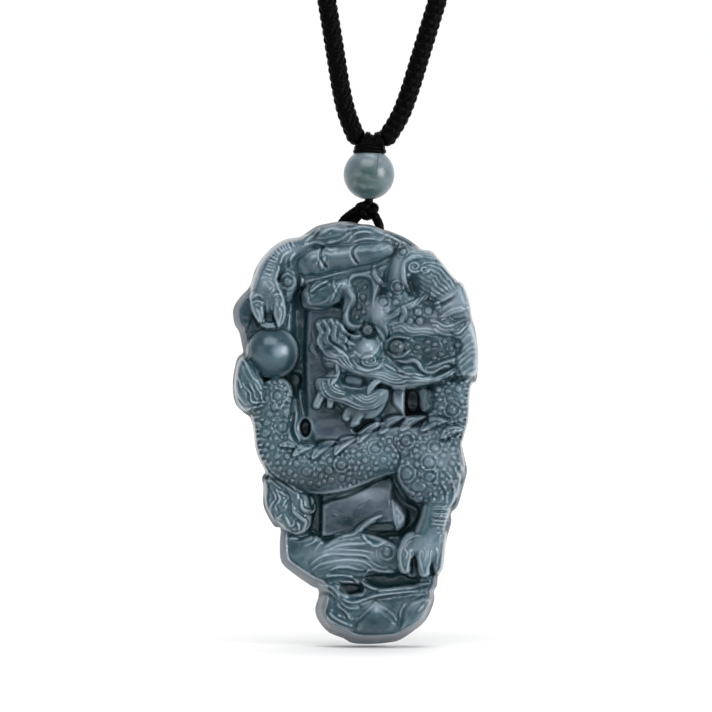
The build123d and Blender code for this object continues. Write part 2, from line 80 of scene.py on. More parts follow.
# The slab's outline, clockwise from the top left.
SLAB_OUTLINE = [
    (348, 221.6), (361, 224), (371, 225), (383, 229.5), (389, 231), (405, 237.5), (416, 245),
    (421, 249), (431, 251), (436.5, 256), (449, 272), (456.5, 280), (462.5, 284), (468.6, 300),
    (472, 319), (475, 330), (477.8, 354), (476.5, 378), (471.5, 384), (469.5, 395), (468.6, 417),
    (464, 436), (462, 444), (464.4, 456), (466.7, 471), (462.3, 489), (457.5, 505), (451, 512.5),
    (451, 522), (446, 541), (443, 566), (438, 575), (437, 584), (434, 590), (434, 600),
    (428, 615.5), (420, 625), (401, 638.4), (388, 641.8), (370, 643.2), (353, 642.3), (343, 637.4),
    (329.5, 632), (321.5, 624), (316.5, 615.5), (315.5, 607), (318.4, 597), (318, 588.5),
    (311, 585), (290, 570), (281.3, 560), (280, 543), (280.6, 527.5), (275, 526), (268, 515),
    (263.7, 504), (263.5, 487), (262.4, 476), (265.5, 471), (259.4, 459), (255.6, 447), (254, 434),
    (252.6, 424), (249.5, 416), (244.5, 412.5), (235.5, 402), (233.2, 382), (236.5, 361),
    (240, 355), (243.4, 352), (242.2, 343.8), (239.5, 332), (235, 324), (233.2, 313),
    (235.2, 304.5), (241.6, 295.5), (248.4, 288.6), (251.8, 281), (254.4, 272), (259.4, 262),
    (267.5, 252), (276.6, 244), (286.5, 239), (300, 236.6), (310.4, 230.1), (317.5, 226),
    (327, 223.6), (336, 222),
]

# The polished wall round the front. Columns: direction from the middle in degrees, clockwise
# from the right, width.
RIM_WIDTHS = [
    (-180, 3.5), (-165, 5.0), (-150, 6.5), (-125, 5.5), (-105, 3.0), (-80, 2.2), (-45, 2.6),
    (0, 2.8), (45, 4.0), (75, 8.5), (90, 10.0), (110, 10.0), (130, 8.0), (145, 5.0), (160, 3.5),
    (180, 3.5),
]

# Sunk ground. Columns: depth, soft edge, outline.
SUNK = [
    (8, 6, [(300, 262), (395, 262), (405, 390), (395, 432), (316, 446), (299, 424)]),
    (11, 3, [(314, 480), (382, 468), (402, 475), (416, 504), (406, 546), (321, 540)]),
    (4, 4, [(277, 256), (299, 256), (300, 312), (283, 308), (279, 280)]),
    (13, 9, [(293, 284), (309, 280), (311, 388), (304, 396), (292, 388)]),
    (22, 4, [(262, 370), (300, 372), (300, 392), (284, 391), (265, 384)]),
    (25, 5, [(405, 384), (430, 377), (461, 375), (455, 395), (432, 412), (405, 414)]),
    (20, 5, [(392, 482), (398, 488), (404, 496), (415, 502), (421, 507), (421, 517), (416, 526),
        (406, 533), (400, 537), (397, 530), (403, 524), (405, 514), (400, 507), (394, 498)]),
    (18, 5, [(303, 480), (322, 484), (323, 537), (309, 535), (305, 526), (311, 514), (312, 502),
        (308, 492)]),
    (14, 6, [(346, 412), (368, 409), (384, 419), (362, 432), (346, 436)]),
    (9, 5, [(291, 530), (309, 529), (315, 543), (304, 550), (290, 544)]),
    (11, 5, [(364.5, 575), (369, 569.5), (380.5, 571.6), (393, 572), (398, 570.5), (412, 573),
        (419, 576), (418, 583), (404, 585), (393, 587), (376, 586.5), (368, 582)]),
    (11, 4, [(341, 583), (361, 583), (362, 592), (342, 593)]),
]

# Flat blocks left standing in the sunk ground. Columns: height of the top, soft edge, outline.
BLOCKS = [
    (-2.0, 4, [(308, 309), (330, 307), (346, 306), (347, 330), (345, 395), (380, 400), (380, 432),
        (352, 440), (315, 440), (308, 420), (306, 360)]),
    (6.0, 1.5, [(392, 386), (405, 386), (404.5, 416), (392.5, 402)]),
    (-3.0, 2, [(322.6, 504.5), (331.2, 500.2), (345.9, 496.7), (358.8, 490.7), (368.3, 486.4),
        (376, 479.5), (382, 476.9), (390.7, 478.6), (392.8, 483), (391.6, 489.8), (391.1, 498.4),
        (393.3, 508), (395, 520), (397.5, 530), (380, 531), (360, 531), (345, 536), (322, 535)]),
    (-3.5, 2, [(391.4, 497.3), (396.4, 502), (401.2, 507), (405.9, 515.6), (405.5, 521.7),
        (402.9, 527), (398, 530.5), (394.9, 526.2), (393.1, 516.6), (392.3, 508)]),
]

# Rounded forms. Columns: rise, width of the rounding, depth of the cut round it, outline.
FORMS = {
    "under arm": (9, 9, 0, [(278, 258), (294, 245), (314, 243), (308, 262), (300, 280),
        (286, 274)]),
    "roll ledge": (9, 6, 0, [(300, 274), (330, 268), (360, 262), (390, 252), (393, 263), (375, 271),
        (350, 278), (325, 283), (302, 288)]),
    "lotus": (8, 9, 0, [(318, 602), (330, 592), (360, 596), (400, 588), (433, 586), (432, 600),
        (426, 615), (419, 625), (400, 635), (370, 639), (345, 634), (324, 622)]),
    "crown": (9, 8, 1, [(300, 243), (315, 229), (345, 223), (370, 226), (392, 235), (411, 246),
        (398, 256), (343, 250), (316, 249)]),
    "crown leaf": (12, 7, 2, [(311, 244), (315, 233), (325, 227), (341, 226), (352, 231),
        (340, 240), (325, 244)]),
    "cloud ring": (12, 8, 2, [(279, 270), (285, 262), (296, 266), (301, 280), (293, 296),
        (286, 303), (280, 292)]),
    "left rim": (4, 8, 0, [(235, 312), (241, 298), (252, 289), (254, 310), (247, 332), (239, 326)]),
    "left cloud": (19, 9, 2, [(234, 386), (237, 363), (244, 356), (252, 360), (262, 372),
        (268, 384), (268, 398), (260, 408), (247, 411), (238, 404)]),
    "lower roll": (14, 12, 1, [(301, 296), (305, 284), (320, 279), (336, 276), (348, 276),
        (348, 286), (343, 299), (332, 307), (315, 310), (303, 307)]),
    "mane": (13, 9, 1, [(347, 272), (343, 300), (343, 325), (356, 334), (371, 326), (381, 300),
        (392, 262), (366, 266)]),
    "whiskers": (9, 7, 1, [(315, 322), (338, 318), (349, 330), (350, 350), (338, 358), (322, 356)]),
    "head mass": (20, 18, 1, [(347, 336), (356, 328), (366, 322), (371, 309), (380, 292),
        (384, 272), (391, 256), (403, 246), (424, 248), (440, 257), (453, 272), (463, 285),
        (471, 304), (474, 330), (476, 350), (475, 374), (459, 380), (436, 386), (412, 389),
        (389, 388), (372, 382), (350, 376), (334, 374), (323, 364), (325, 352)]),
    "horn root": (22, 13, 1, [(384, 275), (391, 258), (403, 247), (424, 249), (440, 259),
        (424, 280), (404, 293), (388, 290)]),
    "horn fan": (25, 16, 1, [(405, 280), (412, 264), (426, 258), (442, 262), (454, 275), (462, 290),
        (456, 302), (436, 308), (420, 304), (409, 294)]),
    "temple leaf": (26, 10, 1, [(430, 305), (446, 297), (456, 283), (465, 288), (472, 305),
        (472, 318), (458, 324), (440, 323), (428, 318)]),
    "forehead": (31, 17, 1, [(371, 310), (380, 294), (398, 285), (412, 290), (426, 300), (444, 306),
        (456, 315), (458, 330), (430, 340), (404, 341), (381, 340), (370, 328)]),
    "temple": (27, 10, 1, [(384, 336), (420, 333), (452, 333), (460, 345), (457, 368), (430, 374),
        (400, 366), (384, 360)]),
    "cheek": (29, 10, 1, [(384, 374), (397, 362), (414, 360), (426, 372), (445, 366), (459, 364),
        (457, 378), (436, 385), (412, 389), (393, 389), (383, 382)]),
    "snout": (30, 10, 1, [(324, 352), (334, 346), (347, 348), (356, 345), (372, 350), (388, 358),
        (402, 370), (398, 386), (380, 386), (366, 379), (350, 375), (338, 374), (326, 366)]),
    "nose": (34, 14, 1, [(356, 340), (362, 334), (372, 334), (380, 340), (385, 352), (381, 363),
        (371, 370), (360, 369), (353, 361), (352, 350)]),
    "lower jaw": (26, 10, 1, [(316, 379), (317, 391), (325, 399), (338, 404), (352, 410),
        (364, 412), (378, 410), (387, 402), (390, 390), (384, 384), (370, 384), (356, 389),
        (345, 386), (341, 378), (341, 364), (332, 365), (326, 374)]),
    "mouth floor": (19, 3, 0, [(337, 369), (350, 371), (363, 373), (374, 378), (374, 389),
        (360, 392), (346, 390), (337, 384)]),
    "palm": (11, 3, 0, [(261, 305), (279, 305), (280, 322), (260, 322)]),
    "toe gap": (9, 3, 0, [(407, 550), (421, 550), (421, 574), (407, 574)]),
    "pit slope": (12, 9, 0, [(419, 386), (432, 384), (441, 390), (441, 412), (424, 413),
        (419, 404)]),
    "beard": (19, 8, 1, [(335, 400), (350, 398), (372, 400), (386, 400), (383, 410), (373, 418),
        (363, 419), (358, 423), (355, 427), (350, 426), (349, 420), (346, 419), (343, 420),
        (341, 415), (343, 410)]),
    "ear": (27, 4, 1, [(453, 331), (462, 325), (470, 322), (477, 346), (476.5, 373), (463, 377),
        (456, 379), (455, 366), (452, 350)]),
    "shoulder": (21, 12, 2, [(430, 384), (449, 380), (468, 386), (470, 415), (463, 441), (439, 441),
        (428, 420)]),
    "haunch": (28, 16, 3, [(394, 460), (396, 477), (406, 494), (420, 502), (442, 500), (462, 478),
        (463, 449), (446, 432), (424, 436), (403, 444)]),
    "foot": (21, 9, 1, [(398.5, 546), (402, 537), (410, 531), (419, 527), (434, 525), (446, 530),
        (446, 548), (444, 558), (430, 560), (417, 556), (409, 556), (399, 556)]),
    "lower cloud": (14, 10, 3, [(264, 481), (282, 474), (299, 483), (310, 500), (311, 525),
        (298, 535), (280, 524), (267, 507)]),
    "lower slab": (2, 6, 0, [(281, 530), (300, 536), (322, 538), (322, 580), (300, 574),
        (283, 556)]),
    "wave hill": (5, 8, 1, [(309, 563), (321, 545), (346, 535), (375, 536), (399, 546), (399, 568),
        (368, 575), (331, 579), (316, 578)]),
    "left petal": (12, 7, 1, [(327, 609), (333, 606), (341, 612), (349, 618), (354, 621),
        (353.5, 629), (343, 626), (333, 623.5), (327, 618)]),
    "right petal": (14, 9, 1, [(400, 617), (402, 608), (405.4, 601.5), (412, 596), (424, 592),
        (431, 596), (430, 604), (422, 618), (409.5, 625.5), (399.6, 630)]),
    "middle petal": (15, 9, 1, [(354.8, 628), (355.6, 619.7), (361.4, 614.7), (369.7, 606.4),
        (375.5, 599.8), (380.5, 604), (387, 607.3), (392.9, 613), (397.9, 618), (398.7, 624),
        (390, 631.5), (370, 632.5), (358, 631)]),
}

# Forms that are cut once more over the limbs.
OVER_LIMBS = ("haunch", "shoulder", "left cloud")

# Round limbs. Columns: x, y, height of the crest, radius.
LIMBS = {
    "upper roll": [(307, 266, 17, 10), (315, 263, 19, 13), (332, 259, 18, 12.5), (352, 257, 18, 12),
        (370, 254, 17, 10.5), (388, 250, 15, 6)],
    "arm": [(316, 239, 8, 5), (303, 243, 14, 9), (288, 250, 18.5, 11.5), (273, 263, 20, 12),
        (266, 279, 20, 11.5), (267, 294, 19, 9)],
    "paw": [(262, 283, 21, 12), (267, 292, 24, 17), (268, 299, 23, 15)],
    "body": [(455, 390, 21, 20), (447, 432, 22.6, 22), (429, 448, 23, 22.8), (400, 449, 23, 23),
        (373, 455, 23, 23), (346, 466, 23, 23), (321, 470.5, 23, 23), (300, 467, 23, 22.5),
        (282, 458, 22.6, 22), (272, 441, 22.6, 20.6), (270, 420, 22.6, 19.6), (277, 392, 21, 16)],
    "leg": [(452, 472, 17, 9), (447, 488, 21, 12), (438, 502, 22.5, 13.5), (433.5, 518, 22.5, 13.5),
        (429, 532, 22, 14), (425, 546, 22, 13)],
    "inner toe": [(412, 540, 20, 9), (405.5, 552, 24, 8.4), (404, 561, 23.5, 6.6),
        (404.6, 566.5, 22, 6)],
    "outer toe": [(438, 542, 19, 9), (438, 554, 21, 8), (438, 564, 19.5, 6), (438.5, 568, 18, 5)],
    "jaw teat": [(322, 394, 21, 4.6), (318.5, 401, 20, 4.2), (317, 404.5, 18, 4)],
    "small teat": [(331, 399, 21, 4.2), (330, 404.5, 18, 3.4)],
    "upper teat": [(353, 406, 21, 5), (348, 413, 20, 4.6), (347, 417, 18, 3.8)],
    "lower teat": [(362, 408, 21, 6), (357, 416, 20, 5), (355.5, 421, 18, 4.4)],
    "middle toe": [(427, 542, 20, 10), (424.5, 554, 24.5, 9), (423.7, 564, 23.5, 6.8),
        (424, 569.8, 22, 6)],
    "upper wave": [(314, 561, 3.4, 3), (336, 544, 9.6, 6.4), (360, 539, 10, 7), (380, 543, 9, 6),
        (399, 550, 3, 3)],
    "wave lip": [(345, 536, 6, 3.2), (354, 533, 8, 3.4), (361, 527, 9.5, 3.6),
        (368, 521.5, 9.5, 3.2), (375, 517.5, 8.5, 2.6), (381, 515, 6, 1.6)],
    "lower wave": [(309, 571, 3, 3), (336, 563, 9, 6), (363, 564, 9.6, 6.4), (391, 570, 3.4, 3)],
    "foot wave": [(321, 582, 3.4, 3.4), (336, 589, 9.6, 6.4), (346, 601, 9, 6), (353, 613, 3.4, 3)],
    "foam ridge": [(360, 600, 4, 2.6), (372, 595, 7, 3.4), (386, 591.5, 8, 4), (402, 589.5, 8, 4.4),
        (420, 588, 5, 3.4)],
}

# The front paw's nails, and the tongue and fang, which lie over the rest. Columns as above.
NAILS = {
    "left nail": [(257, 298, 23, 7), (258.5, 309, 26, 6.8), (261.5, 319, 24, 4.2)],
    "right nail": [(277, 297, 23, 7.5), (279.5, 310, 26.5, 7.2), (280.5, 320, 24, 4.6),
        (280, 326, 21, 1.6)],
    "nail band": [(264, 324, 16, 3.2), (271, 325.5, 17, 3.2), (278, 324, 16, 3.2)],
}
MOUTH = {
    "tongue": [(349.5, 379, 19, 5), (359, 381, 19, 4.6)],
    "fang": [(379, 379, 29, 3), (374, 383, 30, 3.4), (370, 388, 29, 3), (368, 393, 27, 1.4)],
}

# Leaf-shaped fins and tufts. Columns: root x, root y, tip x, tip y, half width, rise.
LEAVES = [
    (440, 437, 463, 428, 5.2, 7), (420, 430, 447, 420, 5.4, 7.5), (400, 430, 427, 416, 5.6, 7.5),
    (379, 433, 406, 416, 5.4, 7.5), (357, 442, 384, 422, 5.4, 7.5), (334, 454, 359, 436, 5, 7.5),
    (312, 458, 338, 441, 4.8, 7), (293, 455, 316, 445, 4.4, 7), (280, 444, 297, 447, 3.8, 6),
    (310, 292, 329, 281, 3.4, 4), (322, 270, 326, 257, 2.8, 3),
]

# Balls: the pearl, the eyes and two knobs. Columns: x, y, height of the crest, radius.
BALLS = [
    (272.5, 352.5, 25, 26.3), (267.3, 380.8, -8, 5), (396.5, 347, 29, 7.2), (368, 330, 22, 5.2),
    (308.3, 500.6, -4, 5.7),
]

# Hollows cut after the forms. Columns: depth, soft edge, outline.
HOLLOWS = [
    (9, 5, [(350, 281), (361, 276), (372, 281), (373, 300), (369, 322), (352, 324), (348, 310),
        (355, 298)]),
    (7, 5, [(384, 341), (392, 336), (420, 337), (447, 334), (461, 341), (459, 354), (441, 362),
        (425, 367), (414, 358), (398, 360), (386, 356)]),
    (6, 2.5, [(360, 330), (366, 322), (377, 326), (376, 337), (366, 339)]),
    (5, 3, [(340, 372), (348, 373), (359, 374), (366, 377), (368, 383), (361, 387), (348, 386),
        (341, 382)]),
    (12, 2, [(353, 428), (360, 423.5), (367, 419), (372, 418.5), (373.5, 421.5), (368, 425),
        (361, 430), (355, 431.5)]),
    (5, 2.5, [(368, 386), (376, 383), (386, 384), (390, 388), (380, 388), (370, 391)]),
    (7, 6, [(405, 290), (408, 277), (417, 275), (421, 286), (416, 297), (408, 297)]),
    (3, 3, [(306, 290), (318, 283), (333, 288), (326, 300), (312, 304)]),
    (5, 3.5, [(364.8, 527), (371, 522.5), (380, 521.7), (391.6, 521), (395, 526), (398, 531),
        (400, 535.5), (395, 537.2), (390.7, 536.4), (383.8, 538), (376.9, 541.6), (371.7, 540.7),
        (366.6, 537.2), (364, 532)]),
    (6, 3, [(436, 368), (450, 362), (462, 374), (460, 384), (440, 379), (430, 380)]),
    (9, 2, [(410.2, 558), (413.8, 555.2), (417.2, 558), (417.8, 566), (418.5, 576), (410.5, 575.5),
        (410.2, 566)]),
    (4, 2, [(430.8, 564.5), (433, 568), (435, 573.5), (429, 573.5), (430, 568)]),
]

# Blind holes. Columns: x, y, half width, half height, depth.
HOLES = [
    (413, 401, 7, 12, 36), (305.5, 427.5, 5, 8.5, 28), (350, 588, 9.8, 4.8, 15),
]

# Studs on the hide. Columns: x, y, radius, rise, and the radius of a raised ring where it has one.
STUDS = [
    (341.5, 463, 5, 3, 7.6), (330, 459, 3.4, 2.6), (329, 469, 4.5, 2.6), (307, 470, 5, 2.8),
    (319.5, 468, 3, 2.4), (342, 477, 3.6, 2.4), (331, 479, 3.4, 2.2), (358, 453, 3, 2.2),
    (365, 459, 3.4, 2.4), (375, 447, 4.4, 2.8, 6.4), (350, 472, 3, 2.2), (310, 482, 3, 2),
    (319, 483, 3, 2), (302, 481, 3, 2), (366, 476, 2.4, 1.8), (359, 481, 2, 1.6),
    (350, 485, 2.2, 1.6), (341, 486, 2, 1.6), (389, 440, 3, 2.2), (387, 448, 3, 2.2),
    (406, 439.5, 5.4, 3, 8), (419.5, 436.5, 3, 2.2), (422.5, 446, 3.6, 2.6),
    (434, 446, 4.6, 2.8, 7), (404.5, 451, 3.4, 2.4), (415, 449, 3, 2.2), (395, 461, 3, 2),
    (383, 459, 3.4, 2), (376, 468, 3, 1.8), (297, 462, 3.6, 2.4), (290, 471, 3.4, 2.2),
    (288, 455, 3.4, 2.4), (278, 455, 3.2, 2.2), (273, 446, 3.4, 2.4), (278.5, 395, 4.5, 2.8, 7.2),
    (286.5, 388, 3, 2.2), (276, 406, 4.4, 2.8), (270, 413, 3.4, 2.4), (288, 412, 4.6, 2.8),
    (283, 426, 5, 3, 7.2), (267, 422, 3.6, 2.4), (266, 432, 4.6, 2.8), (277, 437, 3.2, 2.2),
    (268, 398, 3, 2), (428, 461, 5.4, 3, 7.8), (439, 463, 3.2, 2.4), (416.5, 463, 3.4, 2.4),
    (406, 472, 6, 3, 8.6), (442, 454, 3.2, 2.4), (451, 462, 3.4, 2.4), (429, 475, 5, 2.4, 7.4),
    (418, 484, 7, 2.6), (441, 474, 3, 2), (452, 447, 3, 2.2), (438, 389, 3, 2.4),
    (447, 390, 3, 2.2), (458, 388, 4, 2.6), (449, 398, 3.4, 2.4), (440, 407, 3.2, 2.4),
    (451, 409, 5.4, 3, 7.6), (460, 419, 3.2, 2.4), (449, 421, 4, 2.6), (461, 400, 3, 2.2),
    (439, 418, 3, 2.2), (459, 431, 3, 2), (383, 302, 4.2, 3.2, 6.4), (389, 294, 3.4, 2.8),
    (397, 287, 3.8, 3, 5.8), (395, 302.5, 3.4, 2.6), (387, 309.5, 3.8, 2.8), (409, 321, 4.2, 3.4),
    (419, 321, 4.2, 3.4), (417.5, 312, 4.4, 3.4), (427.5, 310.5, 4, 3.4), (436.5, 305.5, 4.2, 3.4),
    (417, 347, 3.2, 2.6), (426, 350, 3, 2.6), (434, 344, 3, 2.4), (444, 341, 3, 2.4),
    (440, 354, 3.2, 2.6), (427, 341, 2.6, 2), (451, 348, 2.8, 2.2), (411, 341, 2.6, 2),
    (433, 358, 2.6, 2), (418, 356, 2.4, 2), (457, 345, 3.4, 2.8), (363, 297, 3.6, 2.6),
    (359, 307, 3, 2.4), (354.5, 289, 3, 2.2), (364, 312, 3, 2.4), (357, 317, 2.8, 2.2),
    (367, 304, 2.6, 2), (365, 287, 2.8, 2), (362, 321, 2.6, 2), (288, 282, 4.6, 3, 7.6),
    (396, 244, 2.4, 2, 4), (402.5, 252, 3.4, 2.4, 5.4), (387.5, 551, 4.6, 3, 7.6),
    (343, 350, 2.2, 2), (349.5, 347.5, 2.2, 2),
]

# Raised lines. Columns: half width, rise, then the points of each line.
RIDGES = {
    "crown veins": (1.7, 1.4, [
        [(320, 234), (331, 229), (341, 229)], [(325, 244), (338, 241), (347, 236), (352, 231)],
        [(334, 231), (350, 229), (366, 227), (382, 232)],
        [(347, 243), (353, 236), (361, 232), (375, 234)],
        [(350, 244), (360, 240), (370, 239), (381, 241)], [(371, 245), (380, 241), (389, 234)],
        [(374, 247), (382, 243), (391, 237)],
        [(303, 247), (313, 243), (322, 244), (330, 250), (337, 249)],
        [(392, 238), (397, 241), (400, 246), (397, 250)], [(305, 243), (313, 236), (319, 229)],
        [(355, 234), (370, 231), (384, 234), (398, 240), (408, 247)],
    ]),
    "roll edges": (1.3, 1.2, [
        [(301, 283), (318, 279), (332, 275), (352, 270), (373, 266), (392, 259)],
        [(309, 294), (318, 286), (329, 280)], [(308, 308), (325, 309), (340, 306)],
        [(331, 302), (336, 291), (341, 283)], [(334, 277), (334, 286), (338, 294)],
    ]),
    "left cloud curls": (1.2, 1.8, [
        [(241, 358), (239.7, 365), (238, 369.6), (238.3, 375.5), (240.6, 381.4), (241.8, 387)],
        [(244.4, 384.3), (248.5, 389), (251.5, 393), (251.2, 397.8), (253.8, 401.3),
         (257.3, 401.3)],
        [(249.7, 382.6), (252, 386), (255, 393), (256.2, 397.8)],
        [(256.2, 383), (258.5, 388.4), (262, 393), (262.6, 397.8), (264.4, 402.5)],
        [(250.9, 400.2), (256.2, 402.2), (263.2, 401.3), (267.3, 401.3)],
        [(248.5, 408.4), (256.2, 406.6), (263.2, 404.3)],
        [(245, 360), (249, 368), (252, 374), (256, 380)],
    ]),
    "cloud ring edge": (1.5, 2.2, [
        [(280, 267), (277, 279), (280, 290), (286, 301)],
        [(298, 270), (302, 281), (297, 292), (288, 303)], [(281, 264), (284, 256), (290, 252)],
        [(291, 266), (292, 258), (296, 254)],
    ]),
    "lower cloud curls": (1.2, 1.8, [
        [(273.8, 490.6), (275.7, 493.9), (275.7, 498.7), (272.8, 502.5), (270.4, 507.3),
         (271.9, 513), (274.3, 520.2)],
        [(277.1, 488.7), (278, 491.5), (280.5, 496.8), (279, 500.6), (276.2, 504.4), (278, 512.1)],
        [(277.1, 488.7), (282.4, 491.5), (287.7, 494.9), (288.6, 496.8), (285.3, 500.6),
         (283.8, 504.5)],
        [(279, 516.4), (281.9, 513.5)],
        [(284.8, 513), (286.7, 516.9), (289, 521.7), (291.5, 524.5), (294.4, 522.6), (294, 519)],
        [(265.5, 477), (267.5, 488), (266.5, 500), (269, 510), (275, 521)],
        [(282.9, 526), (287.7, 529), (295.3, 532.5), (303, 530), (308.5, 526.5)],
        [(297, 521), (299.5, 525), (299, 529)],
    ]),
    "groove lip": (1.5, 2.2, [
        [(299, 385), (301, 400), (304, 416)], [(292, 416), (290, 430), (293, 440), (301, 447)],
        [(297, 412), (295, 428), (299, 438)], [(291, 391), (286, 400), (280, 409)],
    ]),
    "panel edge": (1.5, 1.8, [
        [(335, 497), (355, 490), (372, 480), (384, 476), (393, 480)],
        [(392.4, 499), (393.5, 508), (394.5, 517), (397.5, 529)],
        [(397, 508), (400, 513), (398, 518)], [(400, 510), (403, 516), (401, 522)],
        [(397, 514), (399, 520), (399, 526)],
        [(289, 537.5), (300, 536), (313, 530.8), (316.4, 537), (312.5, 541.8), (304, 545)],
    ]),
    "waves": (1.5, 1.9, [
        [(314, 551), (320, 543.3), (328.6, 539), (337.2, 535.5), (352.8, 533.4), (359, 529),
         (366, 522.6), (374, 517.4), (380.3, 514.4)],
        [(361.4, 528.6), (363.1, 533.8), (366.6, 539), (371.7, 541.1)],
        [(366, 525.2), (371.7, 521.7), (379.5, 520)],
        [(322, 552), (334.7, 545.9), (345.9, 543.3), (360.5, 542.8), (368.3, 541.6), (372.6, 544.1),
         (377.8, 544.6), (383.8, 541.6), (391.6, 537.2), (398, 536)],
        [(330, 549), (345, 548.5), (360, 549), (372, 551)],
        [(311, 563), (320, 556), (334.7, 552.3), (345.9, 553.2), (356.2, 553.6), (364.8, 554.5),
         (370, 558.8), (375.2, 563.1), (382, 566.1), (389, 567.4), (393.3, 570)],
        [(313, 568), (320, 563), (328.6, 560.5), (337.2, 558.8), (348.4, 557.9), (359.7, 558.8),
         (366.6, 560.9), (373.4, 566.6), (380.3, 569.1), (391.6, 570)],
        [(329, 570), (337.4, 566.2), (347.3, 565.8), (356.4, 567.9), (363, 569.1)],
        [(327.4, 574.9), (334.9, 574), (344.8, 574), (350.6, 575.8), (356.4, 580), (359, 584),
         (360.2, 588.2)],
        [(328.2, 580.7), (338.2, 579.9), (349, 580.7), (356.4, 583.2)],
        [(320, 584), (330.7, 584.9), (337.4, 591.5), (339, 597.3), (343.2, 603), (349, 606.4),
         (358.9, 606.8)],
        [(320, 587.4), (330, 590.7), (336.5, 597.3), (339, 604), (344.8, 609), (348, 613),
         (349.8, 617.2), (356.4, 617.2)],
        [(341, 597), (350, 600.5), (358, 600), (365, 597)],
        [(364.7, 574.9), (369.7, 568.5), (380.5, 570.6), (392.9, 571)],
        [(361, 580), (366, 584), (374, 587.8), (386, 588.5), (400, 587)],
        [(413.7, 584), (422, 583), (430.2, 582)],
    ]),
    "foam line": (1.3, 2.6, [
        [(363.9, 598.6), (372.2, 595.2), (383, 592.8), (399.6, 591), (417.8, 589.4)],
    ]),
    "petal lines": (1.3, 1.8, [
        [(356, 619.5), (361.4, 614.7), (369.7, 606.4), (375.5, 600.5)],
        [(375.5, 600.5), (380.5, 604.5), (387, 607.8), (392.9, 613.4), (397.5, 618.5)],
        [(329, 610.6), (337, 617), (346.5, 622)], [(326.6, 617), (340, 624), (353, 628.8)],
        [(405.4, 601.5), (401, 609), (399.6, 616.4)], [(422.8, 604), (417.8, 608.9)],
    ]),
    "ear folds": (1.3, 1.0, [
        [(457.3, 357.6), (466, 350), (474, 345.9)], [(457, 369), (467, 361), (475.5, 355.7)],
        [(456, 377), (466, 370), (475, 365.5)], [(458, 346), (464, 338), (471, 334)],
        [(459, 352), (468, 343), (474, 340)], [(457, 363.5), (467, 355), (475, 350.5)],
    ]),
    "paw lines": (1.3, 1.6, [
        [(253, 298), (258, 295), (264, 298)], [(253, 303), (258, 301), (264, 303)],
        [(274, 291), (278, 289), (283, 293)], [(274, 296), (279, 294), (284, 298)],
        [(257, 309), (260, 314), (261, 320)], [(283, 303), (286, 313), (284, 324)],
        [(271, 281), (275, 287), (272, 293)],
    ]),
    "toe lines": (1.0, 1.2, [
        [(401.5, 545), (399.8, 555), (401, 564), (404, 570)],
        [(409, 548), (409.5, 557), (406, 569)], [(419, 549), (419.5, 560), (423.3, 572)],
        [(430.5, 548), (429.5, 560), (425.5, 571)], [(404, 541), (410, 536), (418, 533)],
        [(404, 547), (407, 551), (405, 557)], [(423, 545), (426, 551), (424, 559)],
        [(435, 545), (437, 553), (436, 562)],
    ]),
    "haunch lines": (1.6, 2.0, [
        [(394, 470), (394, 478), (399, 487), (406, 495), (418, 501)],
        [(399, 468), (399, 478), (405, 487), (412, 492)],
        [(446, 470), (452, 480), (454, 492), (451, 504)], [(453, 466), (459, 476), (460, 488)],
        [(440, 480), (446, 490), (446, 502)], [(458, 462), (464, 472), (462, 486)],
    ]),
}

# Rows of short raised ticks. Columns: count, length, half width, rise, points of the row.
TICK_ROWS = [
    (13, 6, 1.2, 1.8, [(293, 244), (281, 250), (273, 259), (268, 276)]),
    (6, 15, 1.4, 2.2, [(440, 505), (440, 512), (439, 524)]),
    (9, 7, 1.4, 2.2, [(256, 416), (257, 430), (259, 446), (264, 462)]),
    (5, 7, 1.4, 2.2, [(294, 388), (293, 394), (290, 402)]),
    (6, 8, 1.3, 2.0, [(466, 388), (467, 402), (465, 420), (461, 436)]),
    (5, 12, 1.3, 1.8, [(413, 294), (418, 298), (424, 303)]),
]

# Cut lines. Columns: half width, depth, then the points of each line.
GROOVES = {
    "brow notch": (1.6, 4.0, [
        [(387, 325), (389, 331), (388, 338)], [(390, 326), (392, 333)],
    ]),
    "roll creases": (2.0, 4.0, [
        [(324, 246), (321, 253), (322, 260), (327, 268)],
        [(358, 245), (353, 250), (353, 256), (358, 264)],
    ]),
    "contours": (1.5, 3.0, [
        [(350, 335), (347, 345), (350, 352)], [(384, 366), (396, 372), (404, 373)],
        [(354, 369), (366, 372), (380, 369)], [(320, 377), (330, 377), (338, 377)],
        [(448, 331), (458, 335), (470, 322)], [(392, 440), (400, 456), (396, 470)],
        [(262, 459), (275, 475), (298, 491)],
    ]),
    "claw gaps": (1.5, 4.0, [
        [(252, 307), (255, 318), (259, 326)], [(265, 306), (265, 316), (262, 325)],
        [(274, 305), (274, 316), (277, 327)], [(284, 305), (284, 316), (280, 328)],
    ]),
    "cracks": (0.9, 1.2, [
        [(324, 361), (332, 361)], [(318, 392), (331, 386)], [(340, 416), (352, 429)],
        [(357, 505), (372, 498)], [(330, 510), (344, 516)],
    ]),
}

# Spirals. Columns: x, y, outer radius, flattening, turns, half width, rise.
SPIRALS = [
    (369.5, 360, 9, 0.66, 2.3, 1.5, 2.6), (414, 267, 7.5, 0.8, 1.8, 1.5, 2.6),
    (424, 270, 4.5, 0.9, 1.2, 1.4, 2.0),
]

